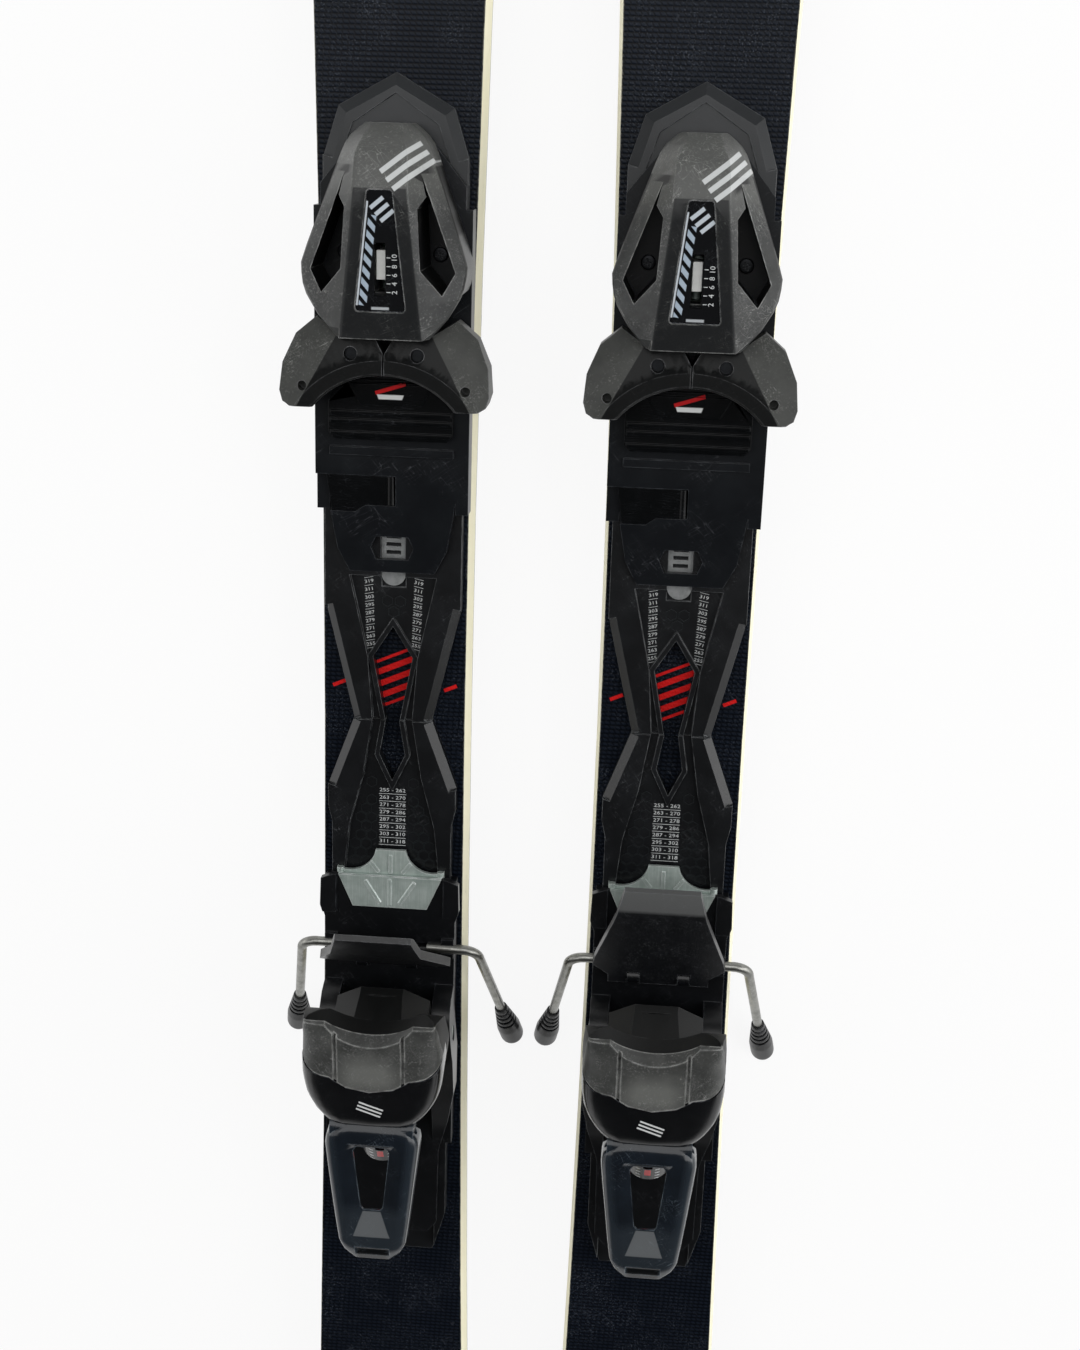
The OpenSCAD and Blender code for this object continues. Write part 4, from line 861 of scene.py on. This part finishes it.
def apply_modifiers(piece: Piece) -> None:
    """Applies all of a piece's modifiers in order.

    Args:
        piece: Object that has them.
    """
    pick(piece)
    for modifier in list(piece.modifiers):
        bpy.ops.object.modifier_apply(modifier=modifier.name)


def printed(text: str, height_mm: float, spot: Vector, turn: float = 0.0,
            stretch: float = 1.0) -> Piece:
    """Makes raised figures.

    Args:
        text: The figures.
        height_mm: Height of a figure.
        spot: Middle of the text, in millimetres.
        turn: Turn about the upright, in degrees.
        stretch: How much wider than usual the figures are.

    Returns:
        Mesh object, settled.
    """
    deselect()
    bpy.ops.object.text_add()
    words = bpy.context.object
    words.data.body = text
    words.data.size = height_mm / FIGURE_SHARE * MM
    words.data.align_x = "CENTER"
    words.data.align_y = "CENTER"
    words.data.resolution_u = CURVE_STEPS
    words.data.extrude = PRINT_T * MM
    bpy.ops.object.convert(target="MESH")
    words = bpy.context.object
    words.location = spot * MM
    words.rotation_euler.z = math.radians(turn)
    words.scale.x = stretch
    return settle(words)


def strip(size: Vector, spot: Vector, turn: float = 0.0) -> Piece:
    """Makes a raised line with rounded edges.

    Args:
        size: Its length, width and height in millimetres.
        spot: Its middle in millimetres.
        turn: Turn about the upright, in degrees.

    Returns:
        Mesh object, settled.
    """
    deselect()
    bpy.ops.mesh.primitive_cube_add(size=1.0, location=spot * MM, rotation=(0.0, 0.0, math.radians(turn)))
    line = bpy.context.object
    line.scale = size * MM
    settle(line)
    bpy.ops.object.mode_set(mode="EDIT")
    bpy.ops.mesh.select_all(action="SELECT")
    bpy.ops.mesh.bevel(offset=min(size) * LINE_EDGE * MM, segments=1)
    bpy.ops.object.mode_set(mode="OBJECT")
    return line


@dataclass
class SkiPair:
    """The two skis with their rail plates, racks and scales."""

    panel_depth: float = 3.0
    figure_h: float = 1.9
    figure_stretch: float = 1.3
    row_pitch: float = 4.05
    first_row: float = -132.2
    row_half: float = 7.0
    first_length: int = 255
    length_step: int = 8
    rows: int = 8
    column_start: tuple[float, float] = (-12.6, -17.5)
    column_end: tuple[float, float] = (-11.4, -54.0)
    column_rows: int = 10
    column_lean: float = 12.0
    column_figure: float = 0.9
    row_line_w: float = 0.25
    tick: tuple[float, float] = (4.6, 0.22)
    print_lift: float = 0.03
    hexagon_r: float = 3.3
    hexagon_rim: float = 0.45
    hexagon_t: float = 0.35
    hexagon_lift: float = 0.05
    hexagon_fill: float = 0.97
    hexagon_margin: float = 0.6
    hexagon_start: tuple[float, float] = (10.8, -128.0)
    hexagon_grid: tuple[int, int] = (10, 5)
    hexagon_spots: tuple[tuple[float, float], ...] = ((0.0, -37.0), (-3.2, -31.4), (3.2, -31.4))
    panel_start: tuple[float, float] = (13.0, -124.0)
    panel_flare: float = 0.27

    def dress(self, shop: Workshop) -> None:
        """Finishes the CAD nodes of the skis."""
        shop.dress("running_bases", SINTERED_BASE)
        shop.dress("steel_edges", EDGE_STEEL)
        shop.dress("cores", ASH_CORE)
        shop.dress("sidewalls", PHENOL_SIDEWALL)
        shop.dress("topsheets", TOPSHEET_FILM)
        shop.dress("rail_plates", RAIL_NYLON, 0.4, 18.0)
        shop.dress("racks", RACK_STEEL, 0.25)
        shop.dress("rail_screws", SCREW_STEEL, 0.3)

    def build(self, shop: Workshop) -> None:
        """Makes the scales and the hexagons on both skis' rails."""
        level = box_mm("rail_plates")[1].z - self.panel_depth
        hexagons = self.hexagon_places()
        for side, ski in zip((-1, 1), SKIS):
            middle = Vector((side * HALF_SPACING, 0.0, level))
            figures = self.heel_rows(middle) + self.toe_columns(middle)
            shop.place(joined(figures), f"{ski}_rail_scales", "skis", "pointer_white", SCALE_PRINT)
            shop.place(self.hexagon_field(hexagons, middle), f"{ski}_rail_hexagons", "skis", "rail_plastic",
                       HEXAGON_NYLON)

    def heel_rows(self, middle: Vector) -> list[Piece]:
        """Makes the heel scale: a row of two sole lengths and a line for each setting.

        Args:
            middle: Ski's centre line at the panel's level.

        Returns:
            Its figures and lines.
        """
        made = []
        for row in range(self.rows):
            low = self.first_length + row * self.length_step
            y = self.first_row - row * self.row_pitch
            made.append(printed(f"{low} - {low + self.length_step - 1}", self.figure_h,
                                middle + Vector((0.0, y, self.print_lift)), stretch=self.figure_stretch))
            made.append(strip(Vector((2 * self.row_half, self.row_line_w, LINE_T)),
                              middle + Vector((0.0, y - self.row_pitch / 2, self.print_lift))))
        return made

    def toe_columns(self, middle: Vector) -> list[Piece]:
        """Makes the toe scale: a leaning column of sole lengths and ticks on each side.

        Args:
            middle: Ski's centre line at the panel's level.

        Returns:
            Its figures and ticks.
        """
        made = []
        (x0, y0), (x1, y1) = self.column_start, self.column_end
        half_step = Vector((0.0, (y0 - y1) / (self.column_rows - 1) / 2, 0.0))
        for side in (-1, 1):
            lean = -side * self.column_lean
            for row in range(self.column_rows):
                t = row / (self.column_rows - 1)
                spot = middle + Vector((-side * (x0 + (x1 - x0) * t), y0 + (y1 - y0) * t, self.print_lift))
                length = self.first_length + (self.column_rows - 1 - row) * self.length_step
                made.append(printed(str(length), self.figure_h * self.column_figure, spot, lean, self.figure_stretch))
                made.append(strip(Vector((*self.tick, LINE_T)), spot - half_step, lean))
        return made

    def hexagon_places(self) -> list[tuple[float, float]]:
        """Fills the rear panel with hexagons on both sides of its scale, and adds the few on the front panel.

        Returns:
            Their middles, from the ski's centre line and along y.
        """
        places = list(self.hexagon_spots)
        pitch = self.hexagon_r * math.sqrt(3.0)
        (rows, columns), (first_x, first_y) = self.hexagon_grid, self.hexagon_start
        panel_half, panel_y = self.panel_start
        for row in range(rows):
            y = first_y - row * self.hexagon_r * 1.5
            room = panel_half + (panel_y - y) * self.panel_flare - self.hexagon_r * self.hexagon_margin
            for column in range(columns):
                x = first_x + (column + 0.5 * (row % 2)) * pitch
                if x < room:
                    places += [(x, y), (-x, y)]
        return places

    def hexagon_field(self, places: list[tuple[float, float]], middle: Vector) -> Piece:
        """Makes one raised hexagon and copies it to its places.

        Args:
            places: Middles of the hexagons.
            middle: Ski's centre line at the panel's level.

        Returns:
            All hexagons as one object.
        """
        deselect()
        bpy.ops.mesh.primitive_circle_add(vertices=6, radius=self.hexagon_r * self.hexagon_fill * MM,
                                          fill_type="NGON")
        first = bpy.context.object
        bpy.ops.object.mode_set(mode="EDIT")
        bpy.ops.mesh.select_all(action="SELECT")
        bpy.ops.mesh.inset(thickness=self.hexagon_rim * MM)
        bpy.ops.mesh.delete(type="FACE")
        bpy.ops.object.mode_set(mode="OBJECT")
        wall = first.modifiers.new("wall", "SOLIDIFY")
        wall.thickness = self.hexagon_t * MM
        wall.offset = 0.0
        apply_modifiers(first)
        made = [copied(first, (middle + Vector((x, y, self.hexagon_lift))) * MM) for x, y in places]
        bpy.data.objects.remove(first)
        return joined(made)


@dataclass
class ToePiece:
    """One toe piece: carriage, housing, window, wings and what lies inside."""

    ski: str
    screw_x: float = 22.5
    screw_ahead: float = 36.0
    screw_r: float = 3.5
    screw_h: float = 1.8
    screw_rim: float = 0.6
    screw_segments: int = 32
    screw_turns: tuple[float, float] = (20.0, 110.0)
    recess_w: float = 1.0
    recess_reach: float = 1.25
    recess_lift: float = 1.1
    smooth_deg: float = 40.0
    window_t: float = 1.7
    print_lift: float = 0.05
    tick: tuple[float, float] = (1.8, 0.35)
    figure_h: float = 2.4
    figure_turn: float = 90.0
    tick_x: float = 3.9
    figure_x: float = 6.7
    first_figure: float = 36.5
    figure_pitch: float = 3.8
    figures: tuple[int, ...] = (10, 8, 6, 4, 2)

    def dress(self, shop: Workshop) -> None:
        """Finishes the toe piece's CAD nodes."""
        for node, finish, edge in (
                ("toe_carriage", CARRIAGE_NYLON, 0.5), ("toe_housing", HOUSING_NYLON, 0.7),
                ("toe_window", WINDOW_PRINT, 0.2), ("toe_spring", SPRING_STEEL, 0.0),
                ("toe_spring_nut", POINTER_WHITE, 0.3), ("toe_plunger", ZINC_STEEL, 0.3),
                ("toe_release_screw", ZINC_STEEL, 0.3), ("left_wing", WING_NYLON, 0.6),
                ("right_wing", WING_NYLON, 0.6), ("wing_pins", SCREW_STEEL, 0.3),
                ("glide_plate", GLIDE_ACETAL, 0.4), ("toe_latch", GLIDE_ACETAL, 0.4)):
            shop.dress(f"{self.ski}_{node}", finish, edge)

    def build(self, shop: Workshop) -> None:
        """Makes the mounting screws and the window's scale."""
        body = f"{self.ski}_toe"
        low, high = box_mm(f"{self.ski}_toe_housing")
        middle = (low.x + high.x) / 2
        for name, side in (("left", -1), ("right", 1)):
            spot = Vector((middle + side * self.screw_x, low.y + self.screw_ahead, low.z))
            shop.place(self.cross_screw(spot), f"{self.ski}_{name}_mounting_screw", body, "screw_steel",
                       SCREW_STEEL)
        shop.place(self.window_scale(middle), f"{self.ski}_window_scale", body, "pointer_white", SCALE_PRINT)

    def cross_screw(self, spot: Vector) -> Piece:
        """Makes a pan-head screw with a cross recess.

        Args:
            spot: Middle of its seat in millimetres.

        Returns:
            Mesh object, settled.
        """
        deselect()
        bpy.ops.mesh.primitive_cylinder_add(vertices=self.screw_segments, radius=self.screw_r * MM,
                                            depth=self.screw_h * MM,
                                            location=(spot + Vector((0.0, 0.0, self.screw_h / 2))) * MM)
        head = settle(bpy.context.object)
        rim = head.modifiers.new("rim", "BEVEL")
        rim.width = self.screw_rim * MM
        rim.segments = 3
        rim.limit_method = "ANGLE"
        apply_modifiers(head)
        for turn in self.screw_turns:
            slot = strip(Vector((self.screw_r * self.recess_reach, self.recess_w, self.screw_h)),
                         spot + Vector((0.0, 0.0, self.screw_h * self.recess_lift)), turn)
            cut = head.modifiers.new("recess", "BOOLEAN")
            cut.object = slot
            cut.operation = "DIFFERENCE"
            apply_modifiers(head)
            bpy.data.objects.remove(slot)
        pick(head)
        bpy.ops.object.shade_smooth_by_angle(angle=math.radians(self.smooth_deg))
        return head

    def window_scale(self, middle: float) -> Piece:
        """Makes the ticks and figures of the release scale on the window.

        Args:
            middle: Ski's centre line.

        Returns:
            All marks as one object.
        """
        low, high = box_mm(f"{self.ski}_toe_window")
        slope = (high.z - low.z - self.window_t) / (high.y - low.y)
        made = []
        for row, figure in enumerate(self.figures):
            y = TOE_REAR + self.first_figure - row * self.figure_pitch
            z = low.z + self.window_t + slope * (y - low.y) + self.print_lift
            made.append(printed(str(figure), self.figure_h, Vector((middle + self.figure_x, y, z)), self.figure_turn))
            made.append(strip(Vector((*self.tick, LINE_T)), Vector((middle + self.tick_x, y, z))))
        return joined(made)


@dataclass
class HeelPiece:
    """One heel piece: base, jaw, shell, lever and brake."""

    ski: str
    cover_half: tuple[float, float] = (19.5, 27.0)
    cover_l: float = 17.5
    cover_t: float = 0.5
    rib_w: float = 2.2
    rib_h: float = 1.2
    rib_x: float = 9.0
    rib_turn: float = 58.0
    rib_reach: float = 0.85
    floor_above: float = 0.5
    cover_back: float = 0.2
    flange_ahead: float = 0.3
    flange_t: float = 0.4
    flange_h: float = 2.8

    def dress(self, shop: Workshop) -> None:
        """Finishes the heel piece's CAD nodes."""
        for node, finish, edge in (
                ("anchor_plate", ZINC_STEEL, 0.4), ("heel_base", BASE_NYLON, 0.5), ("heel_axle", ZINC_STEEL, 0.3),
                ("heel_jaw", CUP_NYLON, 0.8), ("heel_housing", SHELL_NYLON, 0.6),
                ("heel_spring", SPRING_STEEL, 0.0), ("heel_spring_nut", POINTER_RED, 0.3),
                ("heel_plunger", ZINC_STEEL, 0.3), ("heel_release_screw", SCREW_STEEL, 0.3),
                ("opening_lever", LEVER_POLYCARBONATE, 0.8), ("lever_pin", SCREW_STEEL, 0.2),
                ("brake_arms", BRAKE_WIRE, 0.0), ("brake_tips", BRAKE_NYLON, 0.3),
                ("brake_pedal", PEDAL_NYLON, 0.6)):
            shop.dress(f"{self.ski}_{node}", finish, edge)

    def build(self, shop: Workshop) -> None:
        """Makes the part of the steel plate that shows through the front of the base."""
        low, high = box_mm(f"{self.ski}_heel_base")
        hooks = box_mm(f"{self.ski}_anchor_plate")[1].z
        seat = Vector(((low.x + high.x) / 2, high.y - self.cover_l / 2 - self.cover_back,
                       hooks + self.floor_above))
        drop = Vector((0.0, self.cover_l / 2 + self.flange_ahead, self.cover_t / 2 - self.flange_h / 2))
        flange = Vector((2 * self.cover_half[1], self.flange_t, self.flange_h))
        pieces = [self.sheet(seat), strip(flange, seat + drop)]
        for turn, x in ((90.0, 0.0), (-self.rib_turn, -self.rib_x), (self.rib_turn, self.rib_x)):
            pieces.append(strip(Vector((self.cover_l * self.rib_reach, self.rib_w, self.rib_h)),
                                seat + Vector((x, 0.0, self.cover_t)), turn))
        shop.place(joined(pieces), f"{self.ski}_anchor_cover", f"{self.ski}_heel", "zinc_steel", ZINC_STEEL)

    def sheet(self, seat: Vector) -> Piece:
        """Makes a steel sheet that narrows to the rear.

        Args:
            seat: Middle of its underside in millimetres.

        Returns:
            Mesh object, settled.
        """
        rear, front = self.cover_half
        made = strip(Vector((2 * front, self.cover_l, self.cover_t)), seat + Vector((0.0, 0.0, self.cover_t / 2)))
        bpy.ops.object.mode_set(mode="EDIT")
        bpy.ops.mesh.select_mode(type="VERT")
        bpy.ops.mesh.select_all(action="DESELECT")
        bpy.ops.object.mode_set(mode="OBJECT")
        for vertex in made.data.vertices:
            vertex.select = vertex.co.y < seat.y * MM
        bpy.ops.object.mode_set(mode="EDIT")
        bpy.ops.transform.resize(value=(rear / front, 1.0, 1.0), center_override=seat * MM)
        bpy.ops.object.mode_set(mode="OBJECT")
        return made


@dataclass(frozen=True)
class Lamp:
    """A soft rectangular lamp: its place and aim, its size in metres and its power in watts."""

    name: str
    spot: tuple[float, float, float]
    aim: tuple[float, float, float]
    size: tuple[float, float]
    power: float

    def hang(self) -> None:
        """Hangs the lamp and turns it to its aim."""
        deselect()
        bpy.ops.object.light_add(type="AREA", location=self.spot)
        lamp = bpy.context.object
        lamp.name = self.name
        lamp.data.shape = "RECTANGLE"
        lamp.data.size, lamp.data.size_y = self.size
        lamp.data.energy = self.power
        lamp.rotation_euler = (Vector(self.aim) - Vector(self.spot)).to_track_quat("-Z", "Y").to_euler()


@dataclass
class Studio:
    """Floor, soft light and the camera, which stands above the boots' place."""

    eye_mm: tuple[float, float, float] = (62.8, 203.5, 914.4)
    turn: tuple[float, float, float] = (-17.272, 4.496, 1.741)
    focal_px: float = 1795.4
    picture_px: float = 1350.0
    sensor_mm: float = 36.0
    floor_m: float = 30.0
    floor_drop_m: float = 0.0005
    floor_roughness: float = 0.9
    paleness: float = 0.9
    dusk: float = 0.05
    dusk_from: float = 0.42
    horizon_to: float = 0.16
    lamps: tuple[Lamp, ...] = (
        Lamp("tip_softbox", (0.0, 1.0, 2.0), (0.0, 1.0, 0.0), (2.6, 1.8), 29.0),
        Lamp("left_strip", (-1.9, -0.1, 0.85), (0.0, -0.1, 0.05), (1.2, 3.4), 18.0),
        Lamp("right_strip", (1.9, -0.1, 0.85), (0.0, -0.1, 0.05), (1.4, 3.4), 42.0))

    def build(self) -> None:
        """Sets up the floor, the lamps, the sky and the camera."""
        self.floor()
        for lamp in self.lamps:
            lamp.hang()
        self.world()
        self.camera()
        bpy.context.scene.view_settings.view_transform = "Standard"

    def seen_directly(self, tree: Tree) -> Socket:
        """Marks the rays that show the background itself, straight or in metal and glass.

        Args:
            tree: Tree that takes the nodes.

        Returns:
            Value that is 1 for those rays.
        """
        rays = add(tree, "ShaderNodeLightPath").node.outputs
        mirrored = add(tree, "ShaderNodeMath", {"operation": "MAXIMUM"},
                       {0: rays["Is Glossy Ray"], 1: rays["Is Transmission Ray"]})
        return add(tree, "ShaderNodeMath", {"operation": "MAXIMUM"}, {0: rays["Is Camera Ray"], 1: mirrored})

    def floor(self) -> None:
        """Lays a pale floor that keeps a light shadow."""
        deselect()
        bpy.ops.mesh.primitive_plane_add(size=self.floor_m, location=(0.0, 0.0, -self.floor_drop_m))
        floor = settle(bpy.context.object)
        floor.name = "floor"
        material = bpy.data.materials.new("pale_paper")
        material.use_nodes = True
        tree = material.node_tree
        paper = tree.nodes["Principled BSDF"]
        paper.inputs["Base Color"].default_value = linear("#f6f6f5")
        paper.inputs["Roughness"].default_value = self.floor_roughness
        glow = add(tree, "ShaderNodeEmission", None, {"Color": (1.0, 1.0, 1.0, 1.0), "Strength": 1.0})
        share = add(tree, "ShaderNodeMath", {"operation": "MULTIPLY"},
                    {0: self.seen_directly(tree), 1: self.paleness})
        mixed = add(tree, "ShaderNodeMixShader", None, {0: share, 1: paper.outputs[0], 2: glow})
        tree.links.new(mixed, tree.nodes["Material Output"].inputs["Surface"])
        floor.data.materials.append(material)

    def world(self) -> None:
        """Sets a sky that is white round the horizon and dark overhead, so that blacks stay deep."""
        world = bpy.data.worlds.new("soft_sky")
        world.use_nodes = True
        tree = world.node_tree
        way = add(tree, "ShaderNodeTexCoord").node.outputs["Generated"]
        height = Field(add(tree, "ShaderNodeSeparateXYZ", None, {0: way}).node.outputs[2])
        strength = height.mapped(self.dusk_from, self.horizon_to, self.dusk, 1.0)
        tree.links.new(strength.socket, tree.nodes["Background"].inputs["Strength"])
        tree.nodes["Background"].inputs["Color"].default_value = (1.0, 1.0, 1.0, 1.0)
        bpy.context.scene.world = world

    def camera(self) -> None:
        """Sets the camera where the picture was taken from."""
        deselect()
        bpy.ops.object.camera_add(location=Vector(self.eye_mm) * MM,
                                  rotation=[math.radians(angle) for angle in self.turn])
        camera = bpy.context.object
        camera.data.sensor_width = self.sensor_mm
        camera.data.lens = self.focal_px / self.picture_px * self.sensor_mm
        bpy.context.scene.camera = camera


def main() -> None:
    """Dresses the CAD nodes, makes the small pieces and sets up the studio."""
    logging.basicConfig(level=logging.INFO, format="%(message)s")
    shop = Workshop()
    skis = SkiPair()
    toes = [ToePiece(ski) for ski in SKIS]
    heels = [HeelPiece(ski) for ski in SKIS]
    for assembly in (skis, *toes, *heels):
        assembly.dress(shop)
        assembly.build(shop)
    Studio().build()


if __name__ == "__main__":
    main()
